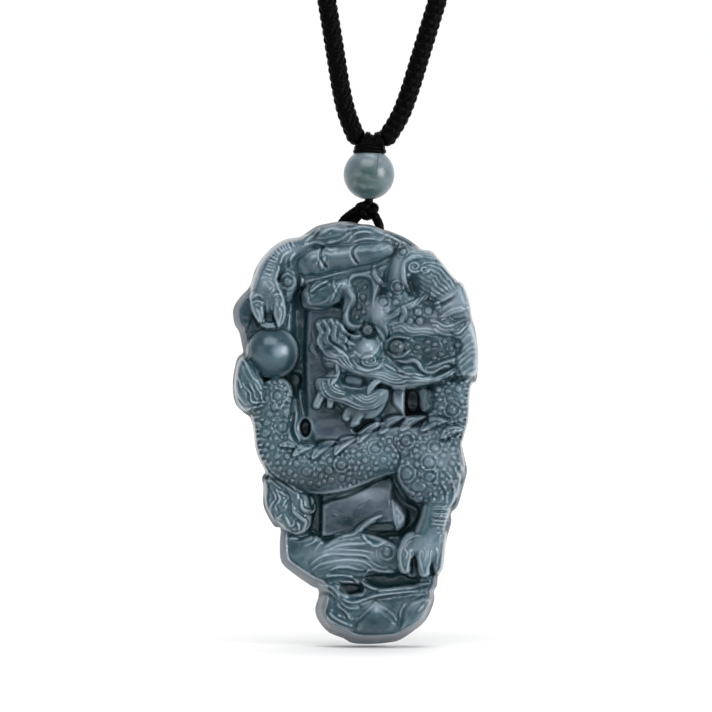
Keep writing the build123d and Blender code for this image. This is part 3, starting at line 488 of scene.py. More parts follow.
# Bands of strands that run between two lines. Columns: strands, swell of the whole band, rise
# of each strand, first line, second line.
BANDS = {
    "mane ribbon": (1, 2.0, 1.2,
        [(344, 278), (341, 287), (347, 295), (350, 301), (346, 309), (342, 317), (343, 325),
         (351, 333)],
        [(351, 276), (349, 285), (355, 292), (357, 300), (354, 309), (350, 317), (351, 322),
         (359, 327)]),
    "upper lip": (4, 1.5, 2.6,
        [(324, 349), (336, 349), (346, 352), (352, 362), (361, 369), (373, 370), (385, 371),
         (395, 375), (403, 371), (414, 371), (428, 374), (440, 370)],
        [(322, 359), (333, 362), (342, 367), (352, 373), (364, 378), (378, 381), (390, 386),
         (402, 388), (414, 386), (426, 383), (436, 378), (446, 375)]),
    "lower jaw": (2, 1.0, 2.4,
        [(317, 379), (318, 388), (322, 395), (330, 400), (340, 402), (349, 406), (357, 410),
         (367, 410), (378, 407), (383, 401)],
        [(325, 377), (325, 386), (330, 392), (337, 396), (348, 397), (355, 401), (363, 405),
         (372, 404), (380, 398)]),
    "inner jaw": (3, 1.0, 2.4,
        [(328, 374), (327, 382), (331, 390), (339, 394), (349, 394), (356, 399), (364, 403),
         (373, 402), (380, 397)],
        [(338, 364), (339, 374), (339, 383), (344, 388), (353, 389), (360, 392), (367, 394),
         (375, 391), (384, 390)]),
    "horn flow": (3, 1.5, 2.0,
        [(424, 250), (437, 255), (449, 269), (460, 284)],
        [(424, 259), (438, 262), (448, 271), (457, 287)]),
    "horn root": (3, 1.0, 2.0,
        [(402, 262), (407, 253), (418, 249), (431, 251), (441, 258)],
        [(409, 266), (412, 259), (420, 256), (430, 257), (437, 262)]),
    "brow": (3, 1.0, 2.4,
        [(389, 323), (401, 320), (413, 327), (430, 327), (445, 332), (457, 328)],
        [(386, 338), (396, 333), (409, 337), (424, 336), (440, 340), (456, 338)]),
    "side flow": (3, 1.0, 2.4,
        [(427, 318), (436, 320), (446, 324), (457, 320), (471, 317)],
        [(434, 333), (446, 337), (458, 335), (466, 329), (474, 322)]),
    "cheek flow": (2, 1.0, 2.2,
        [(383, 349), (390, 357), (398, 365), (405, 370), (414, 371)],
        [(378, 360), (385, 367), (393, 373), (402, 378), (412, 379)]),
    "jaw corner": (3, 1.0, 2.4,
        [(412, 373), (426, 378), (438, 375), (450, 368), (460, 361)],
        [(404, 388), (418, 386), (432, 384), (446, 380), (458, 377)]),
    "ear foot": (2, 1.5, 2.0,
        [(454, 378), (466, 374), (477, 371)], [(456, 386), (466, 383), (475, 379)]),
    "fan": (8, 1.5, 2.4,
        [(414, 268), (427, 261), (440, 263), (452, 273), (461, 287)],
        [(411, 280), (416, 289), (423, 296), (429, 301), (437, 304)]),
}

# Locks, rounded strands laid over what is there. Columns: half width, rise, then the points of
# each lock.
LOCKS = {
    "horn and mane": (2.8, 3.2, [
        [(424, 257), (412, 258), (405, 263), (403, 272), (404, 282), (409, 291)],
        [(374, 265), (375, 275), (380, 282), (386, 287)],
        [(458, 283), (465, 292), (470, 304), (471, 316)],
    ]),
    "whiskers": (3.3, 3.0, [
        [(318, 324), (322, 333), (320, 341), (325, 349), (332, 355), (341, 357)],
        [(324, 321), (329, 330), (326, 339), (331, 346), (340, 352), (347, 357)],
        [(331, 320), (335, 328), (334, 337), (341, 344), (347, 351)],
        [(337, 322), (342, 329), (342, 337), (349, 344)],
        [(313, 331), (316, 340), (313, 348), (318, 356)],
    ]),
    "forehead folds": (3.4, 3.4, [
        [(384, 319), (392, 316), (402, 309), (414, 304), (427, 295)],
        [(403, 307), (404, 315), (400, 322)], [(432, 304), (444, 297), (456, 292)],
        [(440, 318), (452, 311), (466, 308)],
    ]),
    "eyelids": (2.3, 4.0, [
        [(385, 348), (388, 340), (396, 336), (405, 337), (414, 341)],
        [(388, 352), (395, 356), (403, 355), (409, 350)],
        [(397, 360), (405, 361.5), (412, 360), (417, 362), (421, 368), (427, 372), (433, 371),
         (438, 368), (443, 366), (449, 366)],
    ]),
    "snout folds": (2.4, 3.2, [
        [(353, 360), (359, 367), (369, 370), (378, 367), (383, 359)],
        [(355, 352), (361, 356), (368, 356), (374, 352), (379, 345)],
        [(337, 363), (338, 371), (335, 379), (331, 385)], [(376, 326), (381, 333), (384, 341)],
        [(345, 337), (349, 343), (356, 345)], [(341, 325), (346, 333), (354, 337), (360, 336)],
    ]),
    "cloud lobes": (5.0, 2.4, [
        [(243, 361), (249, 372), (256, 384), (263, 397)], [(239, 376), (242, 390), (247, 402)],
        [(271, 481), (279, 492), (283, 505), (281, 516)], [(289, 484), (296, 497), (300, 511)],
    ]),
    "lower cloud ridge": (2.3, 3.4, [
        [(293.4, 502), (294.4, 509.7), (298.7, 514), (302.5, 517.4), (305.3, 519.5), (305.5, 523),
         (303.9, 527)],
        [(301.5, 498), (302, 505.4), (304.9, 509.2), (309.7, 510.7), (313.5, 509.2), (314.9, 503)],
    ]),
}

# The hide's small bumps, on the named forms and limbs, between the studs.
BUMPY_FORMS = ("haunch", "shoulder")
BUMPY_LIMBS = ("body",)
BUMP_SPACING = 6.2
BUMP_JITTER = 1.3
BUMP_RADIUS = (1.9, 3.1)
BUMP_RISE = 1.9
BUMP_INSET = 3
SEED = 7

# The unevenness of hand cutting. Columns: usual distance between hollows, usual height.
HAND_CUT = [
    (4, 0.1), (9, 0.35), (2.2, 0.05),
]

# Light and dark patches on the stone. Some are its clouds. The others are painted shade in hollows,
# holes and the trough, or painted highlights, as on the pearl. Columns: x, y, reach across, reach
# down, tone.
TONES_AND_PAINTED_LIGHT = [
    (330, 478, 70, 16, -0.8), (275, 415, 22, 40, -0.3), (445, 410, 20, 30, -0.5),
    (332, 365, 22, 60, -0.5), (352, 519, 34, 12, -0.7), (362, 492, 32, 8, 1.2),
    (314, 508, 8, 24, -1.2), (415, 514, 9, 16, -1.2), (384, 530, 16, 9, -0.8),
    (385, 578, 24, 9, -1.2), (350, 588, 12, 6, -1.0), (376, 622, 22, 9, -0.7),
    (376, 606, 10, 5, 0.9), (413, 603, 10, 6, 0.4), (400, 512, 6, 13, 2.0),
    (430, 356, 32, 14, -0.9), (396.5, 347, 8, 8, -1.7), (368, 330, 8, 8, -1.3),
    (358, 300, 10, 24, -0.8), (425, 292, 16, 12, -0.6), (302, 340, 9, 60, -0.6),
    (350, 268, 44, 7, -0.6), (375, 258, 14, 6, -0.5), (272, 368, 24, 10, -0.5),
    (292, 366, 12, 16, -0.6), (376, 311, 10, 11, 1.4), (397, 266, 9, 12, 0.7),
    (368, 346, 12, 8, 0.9), (268, 285, 18, 20, 0.5), (284, 250, 16, 10, 0.4),
    (455, 300, 16, 14, 0.7), (398, 403, 7, 18, 0.9), (346, 288, 6, 16, 0.7),
    (328, 338, 14, 18, 0.5), (360, 374, 34, 8, 0.5), (466, 352, 10, 26, 0.5),
    (425, 330, 36, 6, 0.5), (425, 545, 20, 18, 0.5), (345, 552, 38, 11, 0.8),
    (310, 255, 12, 10, 0.4), (384, 248, 7, 5, 0.6), (440, 455, 20, 16, 0.5), (345, 441, 26, 7, 0.6),
    (390, 425, 30, 7, 0.6), (435, 430, 22, 8, 0.5), (352, 355, 20, 8, 0.4), (399, 392, 7, 8, -0.6),
    (401, 513, 5, 8, 0.9), (268, 292, 9, 9, -0.2), (442, 280, 12, 10, -0.5), (340, 254, 14, 6, 0.5),
    (351, 524, 30, 8, -0.5), (281, 352, 8, 9, 0.9), (262, 341, 12, 7, -0.4),
]

# How the tools cut, in pixels where it isn't a share. The cut round a form or limb is this wide
# on its one side. A form cuts what stands up to so much above its own rise.
EDGE_CUT = 2.6
FORM_CUT_DEPTH, FORM_CUT_ABOVE = 0.4, 2
LIMB_CUT_DEPTH = 0.8
# Tapers: how fast a line gains its height from its end, and its least share there.
STROKE_TAPER, LOCK_TAPER, BAND_TAPER, GROOVE_TAPER = (5, 0.15), (3, 0.05), (6, 0.1), (6, 0.1)
# Cuts beside things: depth as a share of the rise, distance from the edge, half width. A
# stroke's are in its own half widths, from its middle.
STROKE_SIDE, LOCK_SIDE, STUD_SIDE = (0.45, 1.9, 0.95), (0.25, 0.8, 1.8), (0.4, 0.5, 1.5)
RING_SIDE, LEAF_SIDE = (0.25, 2, 1.4), (0.3, 0.8, 1.5)
# Shares of the rise, each with its roundness or half width.
STUD_DOME, RING_RISE, LEAF_FOLD = (0.75, 0.8), (0.3, 1.4), (0.35, 0.9)
# A leaf's bow as a share of its length, and the powers that move its fullest place and fill it
# out. A spiral closes in by a share of its radius. A hole ends at a share of its half size, with
# an edge that is soft over another.
LEAF_BOW, LEAF_SHAPE = 0.14, (0.8, 0.7)
SPIRAL_CLOSING = 0.85
HOLE_EDGE, HOLE_SOFT = 1.12, 0.24


# Drawing the carving


def smooth_line(points, closed=False, spacing=LINE_SPACING):
    """A smooth line through a few chosen points, each a row of any number of values."""
    rows = np.array(points, float)
    if closed:
        rows = np.vstack([rows[-1], rows, rows[0], rows[1]])
    else:
        rows = np.vstack([2 * rows[0] - rows[1], rows, 2 * rows[-1] - rows[-2]])
    line = []
    for a, b, c, d in zip(rows, rows[1:], rows[2:], rows[3:]):
        count = max(2, int(np.hypot(*(c - b)[:2]) / spacing) + 1)
        t = np.linspace(0, 1, count, endpoint=False)[:, None]
        line.append(0.5 * (2 * b + (c - a) * t + (2 * a - 5 * b + 4 * c - d) * t ** 2
                           + (3 * b - a - 3 * c + d) * t ** 3))
    if not closed:
        line.append(rows[-2][None])
    return np.vstack(line)


def to_line(x, y, line):
    """How far each place is from a line, and the share of the line at its nearest point."""
    best = np.full(x.shape, np.inf)
    along = np.zeros(x.shape)
    runs = np.hypot(*np.diff(line[:, :2], axis=0).T)
    starts = np.concatenate([[0], np.cumsum(runs)])
    for (x0, y0), (x1, y1), start, run in zip(line[:, :2], line[1:, :2], starts, runs):
        share = np.clip(((x - x0) * (x1 - x0) + (y - y0) * (y1 - y0)) / max(run, 1e-6) ** 2, 0, 1)
        off = np.hypot(x - x0 - share * (x1 - x0), y - y0 - share * (y1 - y0))
        nearer = off < best
        best[nearer] = off[nearer]
        along[nearer] = (start + share * run)[nearer] / starts[-1]
    return best, along


def inside_outline(x, y, line):
    """How far each place lies inside a closed line, and below zero outside it."""
    off = to_line(x, y, np.vstack([line, line[:1]]))[0]
    crossings = np.zeros(x.shape, bool)
    for (x0, y0), (x1, y1) in zip(line, np.roll(line, -1, axis=0)):
        if y0 != y1:
            crossings ^= ((y0 > y) != (y1 > y)) & (x < x0 + (y - y0) * (x1 - x0) / (y1 - y0))
    return np.where(crossings, off, -off)


def swell(distance, reach):
    """A quarter-round profile: 0 at the edge and 1 from the reach inwards."""
    return np.sqrt(1 - (1 - np.clip(distance / reach, 0, 1)) ** 2)


def hump(distance, half_width):
    """A smooth hump: 1 in the middle and 0 from its half width outwards."""
    return np.clip(1 - (distance / half_width) ** 2, 0, 1) ** 1.5


def tapering(along, taper):
    """The share of its full height that a line has at each place along it."""
    rate, least = taper
    return np.sqrt(np.clip(rate * np.minimum(along, 1 - along) + least, 0, 1))


def between(values, i, j, u, v):
    """Values of a grid at shares u and v of the way from column i and row j to the next."""
    return ((values[j, i] * (1 - u) + values[j, i + 1] * u) * (1 - v)
            + (values[j + 1, i] * (1 - u) + values[j + 1, i + 1] * u) * v)


def blur(values, passes, spread):
    """Values averaged with their neighbours, a number of steps away."""
    result = values
    for _ in range(passes):
        padded = np.pad(result, spread, mode="edge")
        shifted = [padded[spread + dy:padded.shape[0] - spread + dy,
                          spread + dx:padded.shape[1] - spread + dx]
                   for dy in (-spread, 0, spread) for dx in (-spread, 0, spread)]
        result = sum(shifted) / 9
    return result


class Carving:
    """The heights of the carved front on a fine grid, in pixels of the photograph."""

    def __init__(self):
        self.xs = np.arange(PHOTO_LEFT - GRID_MARGIN, PHOTO_RIGHT + GRID_MARGIN, GRID_STEP)
        self.ys = np.arange(PHOTO_CROWN - GRID_MARGIN, PHOTO_FOOT + GRID_MARGIN, GRID_STEP)
        self.x, self.y = np.meshgrid(self.xs, self.ys)
        self.height = np.zeros(self.x.shape)
        self.ground = self.lines = self.height
        outline = smooth_line(SLAB_OUTLINE, closed=True, spacing=OUTLINE_SPACING)
        self.inside = inside_outline(self.x, self.y, outline)
        angle = np.arctan2((self.y - (PHOTO_CROWN + PHOTO_FOOT) / 2) / SLAB_TALLNESS,
                           self.x - (PHOTO_LEFT + PHOTO_RIGHT) / 2)
        self.rim = np.interp(np.degrees(angle), *np.array(RIM_WIDTHS).T)

    def sample(self, values, px, py):
        """Values of the grid at places between its points."""
        column = np.clip((px - self.xs[0]) / GRID_STEP, 0, len(self.xs) - 1.001)
        row = np.clip((py - self.ys[0]) / GRID_STEP, 0, len(self.ys) - 1.001)
        i, j = column.astype(int), row.astype(int)
        return between(values, i, j, column - i, row - j)

    def window(self, line, reach):
        """The part of the grid within reach of a line."""
        low, high = line[:, :2].min(0) - reach, line[:, :2].max(0) + reach
        rows = slice(*np.searchsorted(self.ys, (low[1], high[1])))
        columns = slice(*np.searchsorted(self.xs, (low[0], high[0])))
        return rows, columns

    def area(self, line, reach):
        """The part of the grid round a closed line, and how far inside it each place lies."""
        part = self.window(line, reach)
        return part, inside_outline(self.x[part], self.y[part], line)

    def strip(self, line, reach):
        """The part of the grid round a line, and each place's distance off and share along."""
        part = self.window(line, reach)
        return part, *to_line(self.x[part], self.y[part], line)

    def lay(self, part, top, where):
        """Raise the heights of a part to a top, where it is higher."""
        height = self.height[part]
        self.height[part] = np.where(where, np.maximum(height, top), height)

    def sink(self, depth, soft, outline):
        part, inside = self.area(smooth_line(outline, closed=True), 2)
        self.height[part] = np.minimum(self.height[part], -depth * swell(inside, soft))

    def hollow(self, depth, soft, outline):
        part, inside = self.area(smooth_line(outline, closed=True), 2)
        self.height[part] -= depth * swell(inside, soft)

    def block(self, top, soft, outline):
        part, inside = self.area(np.array(outline, float), 3)
        stands = np.clip(inside / soft + 0.5, 0, 1)
        raised = np.maximum(self.height[part], top)
        self.height[part] += (raised - self.height[part]) * stands

    def form(self, rise, rounding, cut, outline):
        """A rounded form, with a cut round it where it isn't behind something higher."""
        part, inside = self.area(smooth_line(outline, closed=True), 6)
        outside = (self.height[part] < rise + FORM_CUT_ABOVE) & (inside <= 0)
        self.height[part] -= np.where(outside, FORM_CUT_DEPTH * cut * hump(inside, EDGE_CUT), 0)
        ground = np.minimum(self.ground[part], rise)
        self.lay(part, ground + (rise - ground) * swell(inside, rounding), inside > 0)

    def limb(self, stations):
        """A round limb with its crest and radius given along its line, and a cut beside it."""
        line = smooth_line(stations)
        part, off, along = self.strip(line, line[:, 3].max() + 3)
        run = np.concatenate([[0], np.cumsum(np.hypot(*np.diff(line[:, :2], axis=0).T))])
        crest, radius = (np.interp(along, run / run[-1], line[:, i]) for i in (2, 3))
        beside = off - radius
        outside = (beside > 0) & (self.height[part] < crest)
        self.height[part] -= np.where(outside, LIMB_CUT_DEPTH * hump(beside, EDGE_CUT), 0)
        top = crest - radius + np.sqrt(np.clip(radius ** 2 - off ** 2, 0, None))
        self.lay(part, top, beside < 0)

    def ball(self, x, y, crest, radius):
        self.limb([(x - 0.01, y, crest, radius), (x + 0.01, y, crest, radius)])

    def hole(self, x, y, wide, high, depth):
        off = np.hypot((self.x - x) / wide, (self.y - y) / high)
        soft = np.clip((HOLE_EDGE - off) / HOLE_SOFT, 0, 1)
        self.height += (np.minimum(self.height, -depth) - self.height) * soft

    def stroke(self, points, half_width, rise):
        """A raised line with a narrow cut on each side, thinner towards its ends."""
        part, off, along = self.strip(smooth_line(points), 3 * half_width + 1)
        taper = tapering(along, STROKE_TAPER)
        depth, away, wide = STROKE_SIDE
        self.height[part] += rise * taper * hump(off, half_width * (0.6 + 0.4 * taper))
        self.height[part] -= depth * rise * taper * hump(off - away * half_width,
                                                         wide * half_width)

    def groove(self, points, half_width, depth):
        part, off, along = self.strip(smooth_line(points), half_width + 1)
        self.height[part] -= depth * tapering(along, GROOVE_TAPER) * hump(off, half_width)

    def lock(self, points, half_width, rise):
        """A rounded strand that lies over the heights along its own line."""
        line = smooth_line(points)
        part, off, along = self.strip(line, half_width + 2)
        taper = tapering(along, LOCK_TAPER)
        width = half_width * (0.4 + 0.6 * taper)
        under = self.sample(self.height, line[:, 0], line[:, 1])
        under = np.convolve(np.pad(under, 2, mode="edge"), np.ones(5) / 5, mode="valid")
        base = np.interp(along, np.linspace(0, 1, len(line)), under)
        top = base + rise * taper * np.sqrt(np.clip(1 - (off / width) ** 2, 0, 1))
        self.lay(part, top, off < width)
        depth, away, wide = LOCK_SIDE
        beside = hump(off - width - away, wide)
        self.height[part] -= depth * rise * taper * np.where(off >= width, beside, 0)

    def band(self, strands, rise, ridge, first, second):
        """Strands that run side by side between two lines, wandering a little."""
        one, other = smooth_line(first), smooth_line(second)
        part, inside = self.area(np.vstack([one, other[::-1]]), 3)
        near_one, along = to_line(self.x[part], self.y[part], one)
        near_other = to_line(self.x[part], self.y[part], other)[0]
        share = near_one / np.maximum(near_one + near_other, 0.01)
        wobble = np.sin(9 * along + 2 * strands) + 0.6 * np.sin(23 * along + strands)
        wander = share + 0.2 / strands * wobble * np.sin(math.pi * share)
        strand = np.abs(np.sin(math.pi * strands * wander)) ** 0.7
        across = np.sqrt(np.clip(1 - (2 * share - 1) ** 2, 0, 1))
        height = self.height[part]
        top = (blur(height, 2, 2)
               + tapering(along, BAND_TAPER) * (rise * across + ridge * (strand - 0.35)))
        self.height[part] = height + (top - height) * np.clip(inside / 1.5, 0, 1)

    def stud(self, x, y, radius, rise, ring=0):
        """A dome in a shallow cut, with a raised ring round it where one is given."""
        part = self.window(np.array([(x, y)], float), max(radius, ring) + 4)
        off = np.hypot(self.x[part] - x, self.y[part] - y)
        share, roundness = STUD_DOME
        self.height[part] += share * rise * np.clip(1 - (off / radius) ** 2, 0, 1) ** roundness
        depth, away, wide = STUD_SIDE
        self.height[part] -= depth * rise * hump(off - radius - away, wide)
        if ring:
            share, wide = RING_RISE
            self.height[part] += share * rise * hump(off - ring, wide)
            depth, away, wide = RING_SIDE
            self.height[part] -= depth * rise * hump(off - ring - away, wide)

    def bumps(self, inside, taken, rng):
        """Small bumps on a jittered grid, clear of the listed studs."""
        columns = np.arange(self.xs[0], self.xs[-1], BUMP_SPACING)
        for row, y in enumerate(np.arange(self.ys[0], self.ys[-1], BUMP_SPACING)):
            for x in columns + (row % 2) * BUMP_SPACING / 2:
                here = np.array([x, y]) + rng.uniform(-BUMP_JITTER, BUMP_JITTER, 2)
                radius = rng.uniform(*BUMP_RADIUS)
                clear = np.hypot(*(taken[:, :2] - here).T) - taken[:, 2]
                if clear.min() > radius * 0.8 and self.sample(inside, *here) > BUMP_INSET:
                    self.stud(*here, radius, BUMP_RISE)

    def leaf(self, root_x, root_y, tip_x, tip_y, half_width, rise):
        """A pointed, slightly bowed leaf with a fold along its middle."""
        ends = np.array([(root_x, root_y), (tip_x, tip_y)], float)
        part = self.window(ends, half_width + 3)
        from_x, from_y = self.x[part] - root_x, self.y[part] - root_y
        run = ends[1] - ends[0]
        length = np.hypot(*run)
        lean = run / length
        along = (from_x * lean[0] + from_y * lean[1]) / length
        aside = from_x * -lean[1] + from_y * lean[0]
        aside = aside + LEAF_BOW * length * np.sin(math.pi * np.clip(along, 0, 1))
        stretch, fullness = LEAF_SHAPE
        width = (half_width
                 * np.sin(math.pi * np.clip(along, 0.001, 0.999) ** stretch) ** fullness)
        off = np.abs(aside) / width
        within = (along > 0) & (along < 1) & (off < 1)
        self.height[part] += np.where(within, rise * np.sqrt(np.clip(1 - off ** 2, 0, 1)), 0)
        depth, wide = LEAF_FOLD
        self.height[part] -= np.where(within, depth * rise * hump(aside, wide), 0)
        near = (along > -0.1) & (along < 1.1) & ~within
        depth, away, wide = LEAF_SIDE
        side = hump(np.abs(aside) - width - away, wide)
        self.height[part] -= np.where(near, depth * rise * side, 0)

    def ticks(self, count, length, half_width, rise, points):
        """Short raised lines across a row."""
        line = smooth_line(points)
        for share in np.linspace(0.03, 0.97, count):
            index = min(int(share * (len(line) - 1)), len(line) - 2)
            here, run = line[index], line[index + 1] - line[index]
            side = np.array((-run[1], run[0])) / np.hypot(*run) * length / 2
            self.stroke([here - side, here + side * 0.1, here + side], half_width, rise)

    def spiral(self, x, y, radius, flattening, turns, half_width, rise):
        steps = np.linspace(0, 1, max(4, int(turns * 10)))
        angle = 2 * math.pi * turns * steps
        reach = radius * (1 - steps * SPIRAL_CLOSING)
        points = np.stack([x + reach * np.cos(angle), y + flattening * reach * np.sin(angle)],
                          axis=1)
        self.stroke(points, half_width, rise)

    def uneven(self, spacing, rng):
        """A smooth random surface of a usual height of 1."""
        columns = (self.x - self.xs[0]) / spacing
        rows = (self.y - self.ys[0]) / spacing
        coarse = rng.normal(size=(int(rows.max()) + 2, int(columns.max()) + 2))
        i, j = columns.astype(int), rows.astype(int)
        u, v = columns - i, rows - j
        surface = between(coarse, i, j, u * u * (3 - 2 * u), v * v * (3 - 2 * v))
        return surface / surface.std()


def cut_lines(cut, table):
    """Cut each line of a table of groups."""
    for half_width, rise, lines in table.values():
        for points in lines:
            cut(points, half_width, rise)


def carve_front():
    """Cut the whole front, from the ground up to the finest lines."""
    carving = Carving()
    for cut, table in ((carving.sink, SUNK), (carving.block, BLOCKS)):
        for row in table:
            cut(*row)
    carving.ground = carving.height.copy()
    for row in FORMS.values():
        carving.form(*row)
    for stations in LIMBS.values():
        carving.limb(stations)
    for name in OVER_LIMBS:
        carving.form(*FORMS[name])
    for row in HOLLOWS:
        carving.hollow(*row)
    carving.height = blur(carving.height, 2, 1)
    for row in BALLS:
        carving.ball(*row)
    for stations in NAILS.values():
        carving.limb(stations)
    carving.height = blur(carving.height, 1, 1)
    for row in BANDS.values():
        carving.band(*row)
    cut_lines(carving.lock, LOCKS)
    cut_lines(carving.stroke, RIDGES)
    for cut, table in ((carving.ticks, TICK_ROWS), (carving.spiral, SPIRALS)):
        for row in table:
            cut(*row)
    cut_lines(carving.groove, GROOVES)
    carving.lines = carving.height.copy()

    hide = np.full(carving.x.shape, -1.0)
    for name in BUMPY_FORMS:
        line = smooth_line(FORMS[name][3], closed=True)
        hide = np.maximum(hide, inside_outline(carving.x, carving.y, line))
    for name in BUMPY_LIMBS:
        line = smooth_line(LIMBS[name])
        hide = np.maximum(hide, line[:, 3].mean() - 2 - to_line(carving.x, carving.y, line)[0])
    rng = np.random.default_rng(SEED)
    carving.bumps(hide, np.array([row[:3] for row in STUDS]), rng)
    for cut, table in ((carving.stud, STUDS), (carving.leaf, LEAVES), (carving.hole, HOLES)):
        for row in table:
            cut(*row)
    for stations in MOUTH.values():
        carving.limb(stations)
    carving.height = blur(carving.height, 1, 1)

    cut_by_hand = np.ones(carving.x.shape)
    for x, y, _, radius in BALLS:
        off = np.hypot(carving.x - x, carving.y - y)
        cut_by_hand *= np.clip((off - radius + 3) / 3, 0.1, 1)
    for spacing, height in HAND_CUT:
        carving.height += height * cut_by_hand * carving.uneven(spacing, rng)
    return carving


# Meshes


def new_object(name, vertices, faces):
    mesh = bpy.data.meshes.new(name)
    mesh.from_pydata(vertices, [], faces)
    mesh.validate()
    mesh.polygons.foreach_set("use_smooth", [True] * len(mesh.polygons))
    piece = bpy.data.objects.new(name, mesh)
    bpy.context.scene.collection.objects.link(piece)
    return piece


def apply_modifiers(piece):
    graph = bpy.context.evaluated_depsgraph_get()
    mesh = bpy.data.meshes.new_from_object(piece.evaluated_get(graph))
    piece.modifiers.clear()
    old, piece.data = piece.data, mesh
    bpy.data.meshes.remove(old)
    mesh.polygons.foreach_set("use_smooth", [True] * len(mesh.polygons))


def pendant_surfaces(carving):
    """How far back the front and the back of the pendant are, over the grid, in metres."""
    inside, rim = carving.inside, carving.rim
    rounding = np.sin(np.clip(inside / rim, 0, 1) * math.pi / 2)
    depth, away, wide = RIM_LIP
    height = (carving.height - depth * hump(inside - rim - away, wide)) * rounding
    height = height - RIM_SLOPE * rim * (1 - rounding)
    dome = BACK_DOME * (1 - np.clip(inside / BACK_DOME_REACH, 0, 1)) ** 2
    fall = (1 - swell(inside, BACK_ROUND)) * BACK_ROUND_DEPTH
    return slab_front - height * PIXEL, pendant_high.y - (fall + dome) * PIXEL


def carved_pendant(carving, front, back):
    """The pendant as one closed mesh: carved front, wall of even rows and polished back."""
    inside = carving.inside
    rows, columns = inside.shape
    centre = (inside[:-1, :-1] + inside[1:, :-1] + inside[:-1, 1:] + inside[1:, 1:]) / 4
    kept = centre > 0
    touching = np.zeros((rows, columns), int)
    for dy in (0, 1):
        for dx in (0, 1):
            touching[dy:rows - 1 + dy, dx:columns - 1 + dx] += kept

    # The outermost points move onto the outline, and to the edges of the front and the back.
    edge = (touching > 0) & (touching < 4)
    gradient_y, gradient_x = np.gradient(inside, GRID_STEP)
    length = np.maximum(np.hypot(gradient_x, gradient_y), 0.2)
    px = np.where(edge, carving.x - inside * gradient_x / length, carving.x)
    py = np.where(edge, carving.y - inside * gradient_y / length, carving.y)
    front = np.where(edge, slab_front + RIM_SLOPE * carving.rim * PIXEL, front)
    back = np.where(edge, pendant_high.y - (BACK_ROUND_DEPTH + BACK_DOME) * PIXEL, back)

    used = touching > 0
    index = -np.ones((rows, columns), int)
    index[used] = np.arange(used.sum())
    count = int(used.sum())
    x = pendant_low.x + (px[used] - PHOTO_LEFT) * PIXEL
    z = pendant_low.z + (PHOTO_FOOT - py[used]) * PIXEL
    front_points = np.stack([x, front[used], z], axis=1)
    back_points = np.stack([x, back[used], z], axis=1)
    a, b = index[:-1, :-1][kept], index[:-1, 1:][kept]
    c, d = index[1:, 1:][kept], index[1:, :-1][kept]
    front_faces = np.stack([a, d, c, b], axis=1)
    back_faces = np.stack([a, b, c, d], axis=1) + count

    # The wall joins the two along the edges that only one face of the front has.
    pairs = np.vstack([front_faces[:, [i, (i + 1) % 4]] for i in range(4)])
    keys = set(map(tuple, pairs.tolist()))
    border = [(i, j) for i, j in keys if (j, i) not in keys]
    edge_points = sorted({i for pair in border for i in pair})
    place = {point: k for k, point in enumerate(edge_points)}
    shares = [row / WALL_ROWS for row in range(1, WALL_ROWS)]
    wall_points = [front_points[edge_points] * (1 - share) + back_points[edge_points] * share
                   for share in shares]

    def on_wall(point, row):
        if row in (0, WALL_ROWS):
            return point + (count if row else 0)
        return 2 * count + (row - 1) * len(edge_points) + place[point]

    wall = [(on_wall(j, row), on_wall(i, row), on_wall(i, row + 1), on_wall(j, row + 1))
            for i, j in border for row in range(WALL_ROWS)]
    faces = front_faces.tolist() + back_faces.tolist() + wall
    points = np.vstack([front_points, back_points] + wall_points)
    piece = new_object("pendant_carving", points.tolist(), faces)
    shrink = piece.modifiers.new("fewer faces", "DECIMATE")
    shrink.ratio = PENDANT_TRIANGLES / (2 * len(faces))
    apply_modifiers(piece)
    return piece


# What the painted shade and highlights follow, in pixels. A place has the full painted shade this
# far below its wide or near surroundings or the slab's front, and the full painted highlight this
# far above its near ones.
SHADE_BELOW_WIDE, SHADE_BELOW_NEAR, SHADE_BELOW_FRONT = 22, 5.5, 36
HIGHLIGHT_ABOVE_NEAR = 2.2
# Painted highlights on crests: weight, the height where one starts to count, and the further height
# to its full.
FINE_CREST_HIGHLIGHT, LINE_CREST_HIGHLIGHT = (0.3, 0.06, 0.3), (0.7, 0.06, 0.5)
# The painted highlight along the rim's inner edge: its weight and half width.
RIM_CREST_HIGHLIGHT, RIM_HIGHLIGHT_WIDTH = 0.8, 1.1
PANEL_LILAC, BACK_LILAC = 0.8, 0.8


